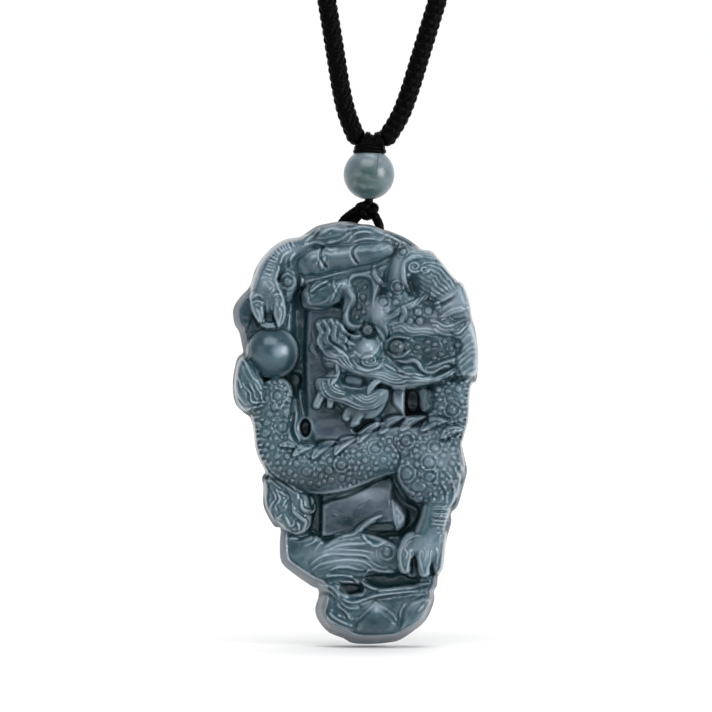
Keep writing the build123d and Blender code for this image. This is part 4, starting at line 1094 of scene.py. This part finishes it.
def paint_carving(piece, carving, middle):
    """Store painted shade and highlights, the stone's lilac, and its clouds with painted light and
    shade, in two colour layers.
    """
    height, inside, rim = carving.height, carving.inside, carving.rim
    near = blur(height, 3, 2)
    wide = blur(near, 4, 6)
    # Painted shade: darker where a place lies below its surroundings or far behind the slab's
    # front.
    recess_shade = np.clip((wide - height) / SHADE_BELOW_WIDE + (near - height) / SHADE_BELOW_NEAR, 0, 1)
    recess_shade = np.clip(recess_shade + np.clip(-height / SHADE_BELOW_FRONT, 0, 0.8), 0, 1)
    # Painted highlight on places that stand above their near surroundings.
    raised_highlight = np.clip((height - near) / HIGHLIGHT_ABOVE_NEAR, 0, 1)
    # Painted highlights along the rim's inner edge and along the crests of the carving.
    crest = RIM_CREST_HIGHLIGHT * hump(inside - rim, RIM_HIGHLIGHT_WIDTH) * np.clip((rim - 4) / 4, 0, 1)
    lines = blur(carving.lines, 1, 1)
    for (weight, low, run), relief in ((FINE_CREST_HIGHLIGHT, height), (LINE_CREST_HIGHLIGHT, lines)):
        crest += weight * np.clip((relief - blur(relief, 2, 1) - low) / run, 0, 1)
    lilac = np.clip(4 * (1.25 - inside / rim), 0, 1)
    for top, _, outline in BLOCKS:
        flat = inside_outline(carving.x, carving.y, np.array(outline, float))
        flat = np.clip(flat / 6, 0, 1) * (np.abs(height - top) < 2.5)
        lilac = np.maximum(lilac, PANEL_LILAC * flat)

    points = np.empty(len(piece.data.vertices) * 3)
    piece.data.vertices.foreach_get("co", points)
    x, y, z = points.reshape(-1, 3).T
    px = PHOTO_LEFT + (x - pendant_low.x) / PIXEL
    py = PHOTO_FOOT - (z - pendant_low.z) / PIXEL
    in_front = y < carving.sample(middle, px, py)

    def on_front(values, elsewhere=0.0):
        return np.where(in_front, carving.sample(values, px, py), elsewhere)

    # Patches that lighten or darken the stone: its clouds, painted shade in hollows and holes, and
    # painted highlights.
    tone_and_painted_light = np.full(len(x), 0.5)
    for patch_x, patch_y, across, down, strength in TONES_AND_PAINTED_LIGHT:
        near_patch = np.exp(-((px - patch_x) / across) ** 2 - ((py - patch_y) / down) ** 2)
        tone_and_painted_light += 0.5 * strength * near_patch * in_front
    for name, red, green, blue in (
            ("carving", on_front(recess_shade), on_front(raised_highlight), on_front(lilac, BACK_LILAC)),
            ("clouds_and_painted_light", tone_and_painted_light, on_front(crest), np.full(len(x), 0.5))):
        layer = piece.data.color_attributes.new(name, "FLOAT_COLOR", "POINT")
        values = np.stack([red, green, blue, np.ones(len(x))], axis=1)
        layer.data.foreach_set("color", np.clip(values, 0, 1).ravel())


# Materials


def colour(text):
    """A linear colour from six hexadecimal digits."""
    parts = [int(text[i:i + 2], 16) / 255 for i in (0, 2, 4)]
    linear = [p / 12.92 if p <= 0.04045 else ((p + 0.055) / 1.055) ** 2.4 for p in parts]
    return (*linear, 1)


class Nodes:
    """A material's node tree, with short calls for the nodes used here."""

    def __init__(self, name):
        self.material = bpy.data.materials.new(name)
        self.material.use_nodes = True
        self.tree = self.material.node_tree
        self.shader = self.tree.nodes["Principled BSDF"]
        self.place = self.tree.nodes.new("ShaderNodeTexCoord").outputs["Object"]

    def link(self, source, target):
        self.tree.links.new(source, target)

    def give(self, sockets, values):
        """Set each socket to its number or colour, or link it to its source."""
        for socket, value in zip(sockets, values):
            if isinstance(value, (tuple, float, int)):
                socket.default_value = value
            else:
                self.link(value, socket)

    def noise(self, scale, detail, roughness, distortion=0.0):
        node = self.tree.nodes.new("ShaderNodeTexNoise")
        self.give([node.inputs[name] for name in
                   ("Vector", "Scale", "Detail", "Roughness", "Distortion")],
                  (self.place, scale, detail, roughness, distortion))
        return node.outputs["Fac"]

    def ramp(self, source, low, high, bottom=0.0, top=1.0):
        node = self.tree.nodes.new("ShaderNodeMapRange")
        self.give([node.inputs[name] for name in
                   ("Value", "From Min", "From Max", "To Min", "To Max")],
                  (source, low, high, bottom, top))
        return node.outputs["Result"]

    def mix(self, factor, first, second):
        node = self.tree.nodes.new("ShaderNodeMix")
        node.data_type = "RGBA"
        self.give((node.inputs["Factor"], node.inputs[6], node.inputs[7]),
                  (factor, first, second))
        return node.outputs[2]

    def maths(self, operation, *values):
        node = self.tree.nodes.new("ShaderNodeMath")
        node.operation = operation
        self.give(node.inputs, values)
        return node.outputs["Value"]

    def layer(self, name):
        node = self.tree.nodes.new("ShaderNodeAttribute")
        node.attribute_name = name
        split = self.tree.nodes.new("ShaderNodeSeparateColor")
        self.link(node.outputs["Color"], split.inputs["Color"])
        return split.outputs

    def axes(self):
        node = self.tree.nodes.new("ShaderNodeSeparateXYZ")
        self.link(self.place, node.inputs["Vector"])
        return node.outputs

    def distance(self, place):
        node = self.tree.nodes.new("ShaderNodeVectorMath")
        node.operation = "DISTANCE"
        self.link(self.place, node.inputs[0])
        node.inputs[1].default_value = place
        return node.outputs["Value"]

    def layers(self, stone, masks):
        """Colours laid over a base colour, each where its mask is."""
        for mask, text in masks:
            stone = self.mix(mask, stone, colour(text))
        self.link(stone, self.shader.inputs["Base Color"])

    def bump(self, height, strength, distance):
        node = self.tree.nodes.new("ShaderNodeBump")
        node.inputs["Strength"].default_value = strength
        node.inputs["Distance"].default_value = distance
        self.link(height, node.inputs["Height"])
        self.link(node.outputs["Normal"], self.shader.inputs["Normal"])

    def set(self, **values):
        for name, value in values.items():
            self.shader.inputs[name.replace("_", " ")].default_value = value


JADE_IOR = 1.6


def jade_material():
    """Grey-blue jade, lilac on the rim and panels, with painted shade in the cuts and painted
    highlights on raised edges and crests.
    """
    nodes = Nodes("carved jade")
    ramp = nodes.ramp
    recess_shade, raised_highlight, lilac = nodes.layer("carving")[:3]
    tone_and_painted_light, crest = nodes.layer("clouds_and_painted_light")[:2]
    cloud = nodes.noise(170, 5, 0.6, 0.6)
    vein = nodes.noise(60, 3, 0.5, 1.5)
    grain = nodes.noise(1500, 3, 0.6)
    polish = nodes.noise(420, 4, 0.6)
    cloudy_lilac = nodes.maths("MULTIPLY", lilac, ramp(cloud, 0.3, 0.7, 0.7, 1.0))
    veined_crest_highlight = nodes.maths("MULTIPLY", crest, ramp(vein, 0.35, 0.6, 0.2, 0.5))
    nodes.layers(nodes.mix(ramp(cloud, 0.33, 0.68), colour("162f37"), colour("3b5863")), (
        (ramp(vein, 0.55, 0.72, 0, 0.4), "4e5866"),
        (cloudy_lilac, "4a5462"),
        # Painted highlight on raised places.
        (ramp(raised_highlight, 0.05, 0.9, 0, 0.4), "9fb0ba"),
        # The patches: painted shade with the stone's dark clouds, then painted highlights with its
        # light clouds.
        (ramp(tone_and_painted_light, 0.47, 0.0, 0, 0.92), "0d272e"),
        (ramp(tone_and_painted_light, 0.55, 1.0, 0, 0.8), "96a6b3"),
        (ramp(lilac, 0.82, 1.0, 0, 0.8), "72777c"),
        # Painted shade in the recesses.
        (ramp(recess_shade, 0.1, 0.85, 0, 0.74), "14373d"),
        # Painted highlights on crests and along the rim's inner edge.
        (veined_crest_highlight, "a9b9c3"),
    ))
    nodes.link(ramp(polish, 0.3, 0.75, 0.18, 0.3), nodes.shader.inputs["Roughness"])
    nodes.set(Subsurface_Weight=0.12, Subsurface_Scale=1 * MM, Subsurface_Radius=(0.6, 1.0, 1.0),
              IOR=JADE_IOR, Specular_IOR_Level=0.45, Specular_Tint=(0.88, 0.96, 1.0, 1))
    nodes.bump(nodes.maths("ADD", grain, polish), 0.08, 0.1 * MM)
    return nodes.material


# The bead's green patch, from the bead's middle, and its crack: place, lean and half width.
PATCH_LEFT, PATCH_DOWN = 0.3 * MM, 1.6 * MM
PATCH_REACH, PATCH_FULL = 4.4 * MM, 1.6 * MM
CRACK_RIGHT, CRACK_LEAN = 1.17 * MM, 0.09
CRACK_FULL, CRACK_REACH = 0.03 * MM, 0.11 * MM


def bead_material():
    """Grey-lilac jade with a green patch low on the front and a hairline crack beside it."""
    nodes = Nodes("bead jade")
    ramp, maths, middle = nodes.ramp, nodes.maths, bead_centre
    x, y, z = nodes.axes()
    cloud = nodes.noise(210, 5, 0.6, 0.8)
    patch_middle = (middle.x - PATCH_LEFT, bead_low.y, middle.z - PATCH_DOWN)
    patch = maths("MULTIPLY", ramp(nodes.distance(patch_middle), PATCH_REACH, PATCH_FULL),
                  ramp(nodes.noise(230, 4, 0.6, 0.5), 0.3, 0.5))
    lean = maths("MULTIPLY", maths("SUBTRACT", z, middle.z), CRACK_LEAN)
    aside = maths("SUBTRACT", maths("SUBTRACT", x, middle.x + CRACK_RIGHT), lean)
    crack = ramp(maths("ABSOLUTE", aside), CRACK_FULL, CRACK_REACH, 0.7, 0.0)
    crack = maths("MULTIPLY", crack, ramp(z, middle.z - 0.4 * MM, middle.z + 0.2 * MM))
    crack = maths("MULTIPLY", crack, ramp(y, middle.y, middle.y - 0.5 * MM))
    nodes.layers(nodes.mix(ramp(cloud, 0.3, 0.7), colour("56646b"), colour("7c8990")),
                 ((patch, "2c4846"), (crack, "263b3e")))
    nodes.set(Roughness=0.25, Subsurface_Weight=0.2, Subsurface_Scale=1.5 * MM, IOR=JADE_IOR,
              Specular_IOR_Level=0.4)
    nodes.bump(nodes.noise(900, 3, 0.6), 0.12, 0.1 * MM)
    return nodes.material


def cord_material():
    """Black polyester fibre with a weak gloss."""
    nodes = Nodes("black braid")
    fibre = nodes.noise(5200, 3, 0.7)
    nodes.layers(colour("010101"), ((nodes.ramp(fibre, 0.3, 0.75), "060607"),))
    nodes.set(Roughness=0.3, Specular_IOR_Level=0.03)
    nodes.bump(fibre, 0.5, 0.06 * MM)
    return nodes.material


# The cords, the knots and the bead

# The neck cord's route in the upright plane, across and up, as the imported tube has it.
NECK_ROUTE = [
    (-0.00145, -0.27785), (-0.00295, -0.2749), (-0.00425, -0.2704), (-0.0055, -0.2621),
    (-0.0081, -0.2466), (-0.0139, -0.2186), (-0.0239, -0.1778), (-0.0366, -0.1315),
    (-0.0490, -0.0883), (-0.0565, -0.0580), (-0.0515, -0.0275), (-0.0295, -0.0046), (0.0, 0.00335),
    (0.0290, -0.0043), (0.0503, -0.0245), (0.0563, -0.0520), (0.0516, -0.0800), (0.0443, -0.1177),
    (0.0345, -0.1647), (0.0240, -0.2085), (0.0133, -0.2470), (0.0085, -0.2626), (0.0061, -0.2706),
    (0.0043, -0.2748), (0.0020, -0.2779),
]
CORD_RADIUS = 1.55 * MM

# The thin cord's strands: across, back and up, in millimetres. The first passes through the
# bore, and the second lies beside its left leg.
LOOP_STRANDS = [
    [(-0.6, 0, -287.9), (-1.4, 0, -288.8), (-2.2, 0, -289.7), (-3.0, 0.1, -290.6),
        (-3.4, 0.2, -291.6), (-3.0, 0.2, -292.5), (-0.95, 0.2, -292.5), (0.9, 0.2, -292.5),
        (1.8, 0.1, -291.4), (1.5, 0, -290.2), (0.9, 0, -289.1), (0.2, 0, -287.9)],
    [(-0.4, -0.15, -287.3), (-1.3, -0.3, -287.9), (-2.3, -0.3, -288.5), (-3.3, -0.1, -289.2),
        (-4.2, 0.2, -290.0), (-4.45, 0.7, -291.0), (-4.3, 0.9, -292.0)],
]
LOOP_RADIUS = 0.72 * MM
THREAD_RADIUS = 0.68 * MM
THREAD_BELOW_BEAD, THREAD_ABOVE_BEAD = 1.3 * MM, 0.5 * MM

# Braids. Columns: length of one turn of a strand, distance between rings of points, points in
# a ring, strands each way, depth of the relief as a share of the radius.
NECK_BRAID = (9.6 * MM, 0.15 * MM, 44, 8, 0.26)
LOOP_BRAID = (3.6 * MM, 0.1 * MM, 24, 5, 0.14)
KNOT_BRAID = (3.0 * MM, 0.1 * MM, 20, 5, 0.14)
THREAD_BRAID = (3.4 * MM, 0.12 * MM, 20, 5, 0.14)
STRAND_LIFT = 0.75

# The small knot: its middle from the bead's foot, its half sizes across, back and up, and the
# widest reach of the curve it follows.
KNOT_LEFT, KNOT_DOWN = 0.35 * MM, 1.75 * MM
KNOT_HALF = (1.25 * MM, 0.75 * MM, 0.85 * MM)
KNOT_CURVE_REACH = 2.76
KNOT_POINTS = 90

# The binding knot. Its collar's windings: height above the bead's top, half sizes across and
# back. Its upright windings stand side by side, each with its own height. Numbers without MM
# are millimetres.
COLLAR = [(-0.385, 2.24, 2.04), (0.165, 2.09, 1.94), (0.682, 1.94, 1.79)]
COLLAR_RIGHT, COLLAR_THREAD = 0.1 * MM, 0.4 * MM
WINDING_RISES = (1.5, 2.2, 2.5, 2.45, 2.1, 2.0, 2.4, 2.5, 2.3, 1.6)
WINDINGS_START, WINDING_SPACING = -1.0, 0.34
WINDING_HALF_DEPTH, WINDING_THREAD, WINDING_SQUARENESS = 1.9 * MM, 0.25 * MM, 0.8
RING_POINTS, TUBE_POINTS = 48, 14

# The bead's bore, the rounding of its mouths, and its points down and round.
BEAD_BORE, BORE_MOUTH, BORE_MOUTH_ANGLE = 0.9 * MM, 0.12 * MM, 0.05
BEAD_DOWN, BEAD_ROUND = 72, 112

# The pendant's bore, and the pockets in its back that the thin cord passes through.
BORE_MIDDLE, BORE_BELOW_TOP = -0.95 * MM, 2.5 * MM
BORE_RADIUS, BORE_LENGTH = 1.0 * MM, 5.8 * MM
POCKET_ASIDE, POCKET_BACK, POCKET_BELOW_BORE = 2.85 * MM, 3.3 * MM, 1.2 * MM
POCKET_SIZE = (2.9 * MM, 10 * MM, 7 * MM)


def spline_points(route):
    """Points along the smooth line of a route of (x, z) or (x, y, z) rows."""
    curve = bpy.data.curves.new("route", "CURVE")
    curve.dimensions = "3D"
    spline = curve.splines.new("NURBS")
    spline.points.add(len(route) - 1)
    for point, place in zip(spline.points, route):
        x, y, z = place if len(place) == 3 else (place[0], 0, place[1])
        point.co = (x, y, z, 1)
    spline.order_u = 3
    spline.use_endpoint_u = True
    spline.resolution_u = 24
    holder = bpy.data.objects.new("route", curve)
    bpy.context.scene.collection.objects.link(holder)
    graph = bpy.context.evaluated_depsgraph_get()
    mesh = bpy.data.meshes.new_from_object(holder.evaluated_get(graph))
    points = np.array([vertex.co for vertex in mesh.vertices])
    bpy.data.meshes.remove(mesh)
    bpy.data.objects.remove(holder)
    bpy.data.curves.remove(curve)
    return points


def evenly(points, spacing):
    """Points at even distances along a line, and the distance of each from its start."""
    runs = np.linalg.norm(np.diff(points, axis=0), axis=1)
    reach = np.concatenate([[0], np.cumsum(runs)])
    count = max(4, int(reach[-1] / spacing))
    marks = np.linspace(0, reach[-1], count)
    return np.stack([np.interp(marks, reach, points[:, i]) for i in range(3)], axis=1), marks


def frames_along(points):
    """Two directions square to a line at each of its points, turning as little as possible."""
    runs = np.gradient(points, axis=0)
    runs /= np.linalg.norm(runs, axis=1)[:, None]
    side = np.cross(runs[0], (0.0, 1.0, 0.0))
    if np.linalg.norm(side) < 0.1:
        side = np.cross(runs[0], (1.0, 0.0, 0.0))
    side /= np.linalg.norm(side)
    sides = []
    for run in runs:
        side = side - run * side.dot(run)
        side /= np.linalg.norm(side)
        sides.append(side)
    sides = np.array(sides)
    return sides, np.cross(runs, sides)


def rings(line, side, front, reach, around):
    """A ring of points round each point of a line."""
    angle = 2 * math.pi * np.arange(around)[None, :, None] / around
    ring = side[:, None, :] * np.cos(angle) + front[:, None, :] * np.sin(angle)
    return (line[:, None, :] + ring * reach).reshape(-1, 3).tolist()


def ring_faces(count, around, closed=False):
    """The faces between rings of points, round to the first ring again if closed."""
    faces = []
    for row in range(count if closed else count - 1):
        start, after = row * around, (row + 1) % count * around
        for i in range(around):
            j = (i + 1) % around
            faces.append((start + i, start + j, after + j, after + i))
    return faces


def braid_height(turns, around, strands):
    """The height of a braid's surface, from below 0 to 1: strands cross two over, two under."""
    u = (turns + around) * strands
    v = (turns - around) * strands
    i, j = np.floor(u), np.floor(v)
    round_u = np.sqrt(np.clip(1 - (2 * (u - i) - 1) ** 2, 0, 1))
    round_v = np.sqrt(np.clip(1 - (2 * (v - j) - 1) ** 2, 0, 1))
    over_u = round_u + STRAND_LIFT * np.sin(math.pi / 2 * (v + i))
    over_v = round_v - STRAND_LIFT * np.sin(math.pi / 2 * (u + j))
    return np.maximum(over_u, over_v) / (1 + STRAND_LIFT)


def braided_cord(points, radius, braid):
    """Vertices and faces of a braided cord along a line, with its far end rounded."""
    pitch, spacing, around, strands, relief = braid
    line, marks = evenly(points, spacing)
    share = np.arange(around) / around
    height = braid_height(marks[:, None] / pitch, share[None, :], strands)
    reach = radius * (1 - relief + relief * height)
    left = np.clip((marks[-1] - marks) / radius, 0.02, 1)
    reach = reach * np.sqrt(1 - (1 - left) ** 2)[:, None]
    count = len(line)
    ends = [tuple(range(around))[::-1], tuple(range((count - 1) * around, count * around))]
    return (rings(line, *frames_along(line), reach[:, :, None], around),
            ring_faces(count, around) + ends)


def joined(name, parts):
    """One piece from several lists of vertices and faces."""
    vertices, faces = [], []
    for part_vertices, part_faces in parts:
        offset = len(vertices)
        vertices += part_vertices
        faces += [tuple(i + offset for i in face) for face in part_faces]
    return new_object(name, vertices, faces)


def neck_cords():
    """The neck cord's braid, in two pieces that meet at the nape."""
    points = evenly(spline_points(NECK_ROUTE), NECK_BRAID[1])[0]
    half = len(points) // 2
    return [new_object(name, *braided_cord(stretch, CORD_RADIUS, NECK_BRAID))
            for name, stretch in (("neck_cord_left", points[half::-1]),
                                  ("neck_cord_right", points[half:]))]


def winding(centre, first, second, radius, squareness=1.0):
    """A thread wound once round a centre, from the two half axes of its ring."""
    angle = np.linspace(0, 2 * math.pi, RING_POINTS, endpoint=False)
    c, s = (np.sign(wave) * np.abs(wave) ** squareness for wave in (np.cos(angle), np.sin(angle)))
    line = np.array(centre) + c[:, None] * np.array(first) + s[:, None] * np.array(second)
    runs = np.roll(line, -1, axis=0) - np.roll(line, 1, axis=0)
    runs /= np.linalg.norm(runs, axis=1)[:, None]
    normal = np.linalg.svd(line - line.mean(axis=0))[2][2:]
    return (rings(line, np.cross(runs, normal), normal, radius, TUBE_POINTS),
            ring_faces(len(line), TUBE_POINTS, closed=True))


def binding_knot():
    """Windings between the two strands over a collar that hugs the bead."""
    parts = []
    top = bead_centre.z + bead_radius
    for level, half_x, half_y in COLLAR:
        parts.append(winding((COLLAR_RIGHT, 0, top + level * MM), (half_x * MM, 0, 0),
                             (0, half_y * MM, 0), COLLAR_THREAD))
    for i, rise in enumerate(WINDING_RISES):
        half = rise / 2 * MM
        centre = ((WINDINGS_START + WINDING_SPACING * i) * MM, 0, top + half)
        parts.append(winding(centre, (0, WINDING_HALF_DEPTH, 0), (0, 0, half), WINDING_THREAD,
                             WINDING_SQUARENESS))
    return joined("binding_knot_wound", parts)


def loop_knot():
    """The small knot below the bead, a loop tied over itself, and the thread in the bead."""
    t = np.linspace(0, 2 * math.pi, KNOT_POINTS, endpoint=False)
    curve = np.stack([(np.sin(t) + 2 * np.sin(2 * t)) / KNOT_CURVE_REACH, -np.sin(3 * t),
                      (np.cos(t) - 2 * np.cos(2 * t)) / KNOT_CURVE_REACH], axis=1)
    line = np.array((-KNOT_LEFT, 0, bead_low.z - KNOT_DOWN)) + curve * np.array(KNOT_HALF)
    thread = np.array([(0, 0, bead_low.z - THREAD_BELOW_BEAD),
                       (0, 0, bead_high.z + THREAD_ABOVE_BEAD)])
    return joined("loop_knot_tied", [
        braided_cord(np.vstack([line, line[:2]]), LOOP_RADIUS, KNOT_BRAID),
        braided_cord(thread, THREAD_RADIUS, THREAD_BRAID)])


def hanging_loop():
    """The thin cord's strands, from the small knot through the pendant's bore."""
    return joined("hanging_loop_cord", [
        braided_cord(spline_points([tuple(value * MM for value in place) for place in strand]),
                     LOOP_RADIUS, LOOP_BRAID) for strand in LOOP_STRANDS])


def jade_bead():
    """The bead, with its bore drilled right through and rounded at both ends."""
    start = math.asin(BEAD_BORE / bead_radius) + BORE_MOUTH_ANGLE
    outer = [(bead_radius * math.sin(a), bead_radius * math.cos(a))
             for a in np.linspace(start, math.pi - start, BEAD_DOWN)]
    mouth = outer[0][1] - BORE_MOUTH
    profile = outer + [(BEAD_BORE, -mouth), (BEAD_BORE, 0), (BEAD_BORE, mouth)]
    vertices = []
    for i in range(BEAD_ROUND):
        angle = 2 * math.pi * i / BEAD_ROUND
        vertices += [(bead_centre.x + r * math.cos(angle), bead_centre.y + r * math.sin(angle),
                      bead_centre.z + z) for r, z in profile]
    return new_object("jade_bead_polished", vertices,
                      ring_faces(BEAD_ROUND, len(profile), closed=True))


def cut_pockets(piece):
    """Cut the bore and the two pockets behind the crown that the thin cord passes through."""
    bore_z = pendant_high.z - BORE_BELOW_TOP
    cutters = []
    for side in (-1, 1):
        bpy.ops.mesh.primitive_cube_add(size=1)
        cube = bpy.context.object
        cube.scale = POCKET_SIZE
        cube.location = (BORE_MIDDLE + side * POCKET_ASIDE, POCKET_BACK,
                         bore_z - POCKET_BELOW_BORE + POCKET_SIZE[2] / 2)
        cutters.append(cube)
    bpy.ops.mesh.primitive_cylinder_add(vertices=32, radius=BORE_RADIUS, depth=BORE_LENGTH)
    tube = bpy.context.object
    tube.rotation_euler = (0, math.pi / 2, 0)
    tube.location = (BORE_MIDDLE, 0, bore_z)
    cutters.append(tube)
    for cutter in cutters:
        cut = piece.modifiers.new("cut", "BOOLEAN")
        cut.operation = "DIFFERENCE"
        cut.solver = "EXACT"
        cut.object = cutter
    apply_modifiers(piece)
    for cutter in cutters:
        mesh = cutter.data
        bpy.data.objects.remove(cutter)
        bpy.data.meshes.remove(mesh)


def dress(piece, material, body, node):
    piece.data.materials.clear()
    piece.data.materials.append(material)
    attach(piece, body)
    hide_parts(node)


stone = jade_material()
bead_stone = bead_material()
black_braid = cord_material()

carving = carve_front()
front, back = pendant_surfaces(carving)
pendant = carved_pendant(carving, front, back)
cut_pockets(pendant)
paint_carving(pendant, carving, (front + back) / 2)
dress(pendant, stone, "pendant", "jade_pendant")
dress(jade_bead(), bead_stone, "necklace", "jade_bead")
for cord in neck_cords():
    dress(cord, black_braid, "necklace", "neck_cord")
dress(binding_knot(), black_braid, "necklace", "binding_knot")
dress(loop_knot(), black_braid, "necklace", "loop_knot")
dress(hanging_loop(), black_braid, "necklace", "hanging_loop")

# The stage. The floor's glow and the world's strength rise from front to back, as on a lit white
# sweep. Columns of the glow: y where it starts, y where it ends, strength at each of them.
FLOOR_GAP = 0.5 * MM
FLOOR_HALF = 4.0
FLOOR_GREY = 0.88
FLOOR_GLOW = ((0.1, 0.5, 0.07, 0.3), (0.3, 1.0, 0.0, 0.5))
WORLD_STRENGTH = {"From Min": 0.1, "From Max": 0.8, "To Min": 0.25, "To Max": 1.02}

# Lights. Columns: name, place across, back and above the pendant's middle, size, power.
LIGHTS = [
    ("key", (-0.08, -0.38, 0.55), (0.6, 0.4), 2.8),
    ("right", (0.5, -0.32, 0.06), (0.32, 0.44), 3.8),
    ("left", (-0.5, -0.36, 0.1), (0.4, 0.4), 0.5),
    ("top", (0.05, 0.12, 0.6), (0.4, 0.3), 1.2),
]

# The photograph's frame: 712 pixels, with the bead's centre at pixel (369, 174.4).
FRAME_PIXELS = 712
BEAD_PIXEL = (369.0, 174.4)
CAMERA_DISTANCE = 0.7
SENSOR_WIDTH = 36


def stage():
    """The floor. It glows faintly behind the object."""
    z = pendant_low.z - FLOOR_GAP
    corners = [(x * FLOOR_HALF, y * FLOOR_HALF, z) for x, y in ((-1, -1), (1, -1), (1, 1), (-1, 1))]
    floor = new_object("floor", corners, [(0, 1, 2, 3)])
    nodes = Nodes("pale floor")
    nodes.set(Roughness=0.7, Base_Color=(FLOOR_GREY, FLOOR_GREY, FLOOR_GREY, 1),
              Emission_Color=(1, 1, 1, 1), Specular_IOR_Level=0.2)
    back = nodes.axes()[1]
    glow = nodes.maths("ADD", *[nodes.ramp(back, *row) for row in FLOOR_GLOW])
    nodes.link(glow, nodes.shader.inputs["Emission Strength"])
    floor.data.materials.append(nodes.material)


def studio_world():
    """Soft light from all round, white behind the object and dimmer in front of it."""
    world = bpy.data.worlds.new("studio")
    world.use_nodes = True
    tree = world.node_tree
    split = tree.nodes.new("ShaderNodeSeparateXYZ")
    tree.links.new(tree.nodes.new("ShaderNodeTexCoord").outputs["Generated"],
                   split.inputs["Vector"])
    strength = tree.nodes.new("ShaderNodeMapRange")
    for name, value in WORLD_STRENGTH.items():
        strength.inputs[name].default_value = value
    tree.links.new(split.outputs["Y"], strength.inputs["Value"])
    sky = tree.nodes["Background"]
    sky.inputs["Color"].default_value = (1, 1, 1, 1)
    tree.links.new(strength.outputs["Result"], sky.inputs["Strength"])
    bpy.context.scene.world = world


def area_light(name, place, size, power):
    """A soft light that faces the middle of the pendant."""
    target = (pendant_low + pendant_high) / 2
    light = bpy.data.lights.new(name, "AREA")
    light.shape = "RECTANGLE"
    light.size, light.size_y = size
    light.energy = power
    holder = bpy.data.objects.new(name, light)
    holder.location = (place[0], place[1], target.z + place[2])
    holder.rotation_euler = (target - holder.location).to_track_quat("-Z", "Y").to_euler()
    bpy.context.scene.collection.objects.link(holder)


stage()
for row in LIGHTS:
    area_light(*row)
studio_world()
bpy.context.scene.view_settings.view_transform = "Standard"

camera_data = bpy.data.cameras.new("camera")
camera_data.sensor_width = SENSOR_WIDTH
camera_data.lens = SENSOR_WIDTH * CAMERA_DISTANCE / (FRAME_PIXELS * PIXEL)
camera_data.clip_start = 0.01
camera = bpy.data.objects.new("camera", camera_data)
camera.location = (bead_centre.x + (FRAME_PIXELS / 2 - BEAD_PIXEL[0]) * PIXEL, -CAMERA_DISTANCE,
                   bead_centre.z - (FRAME_PIXELS / 2 - BEAD_PIXEL[1]) * PIXEL)
camera.rotation_euler = (math.pi / 2, 0, 0)
bpy.context.scene.collection.objects.link(camera)
bpy.context.scene.camera = camera
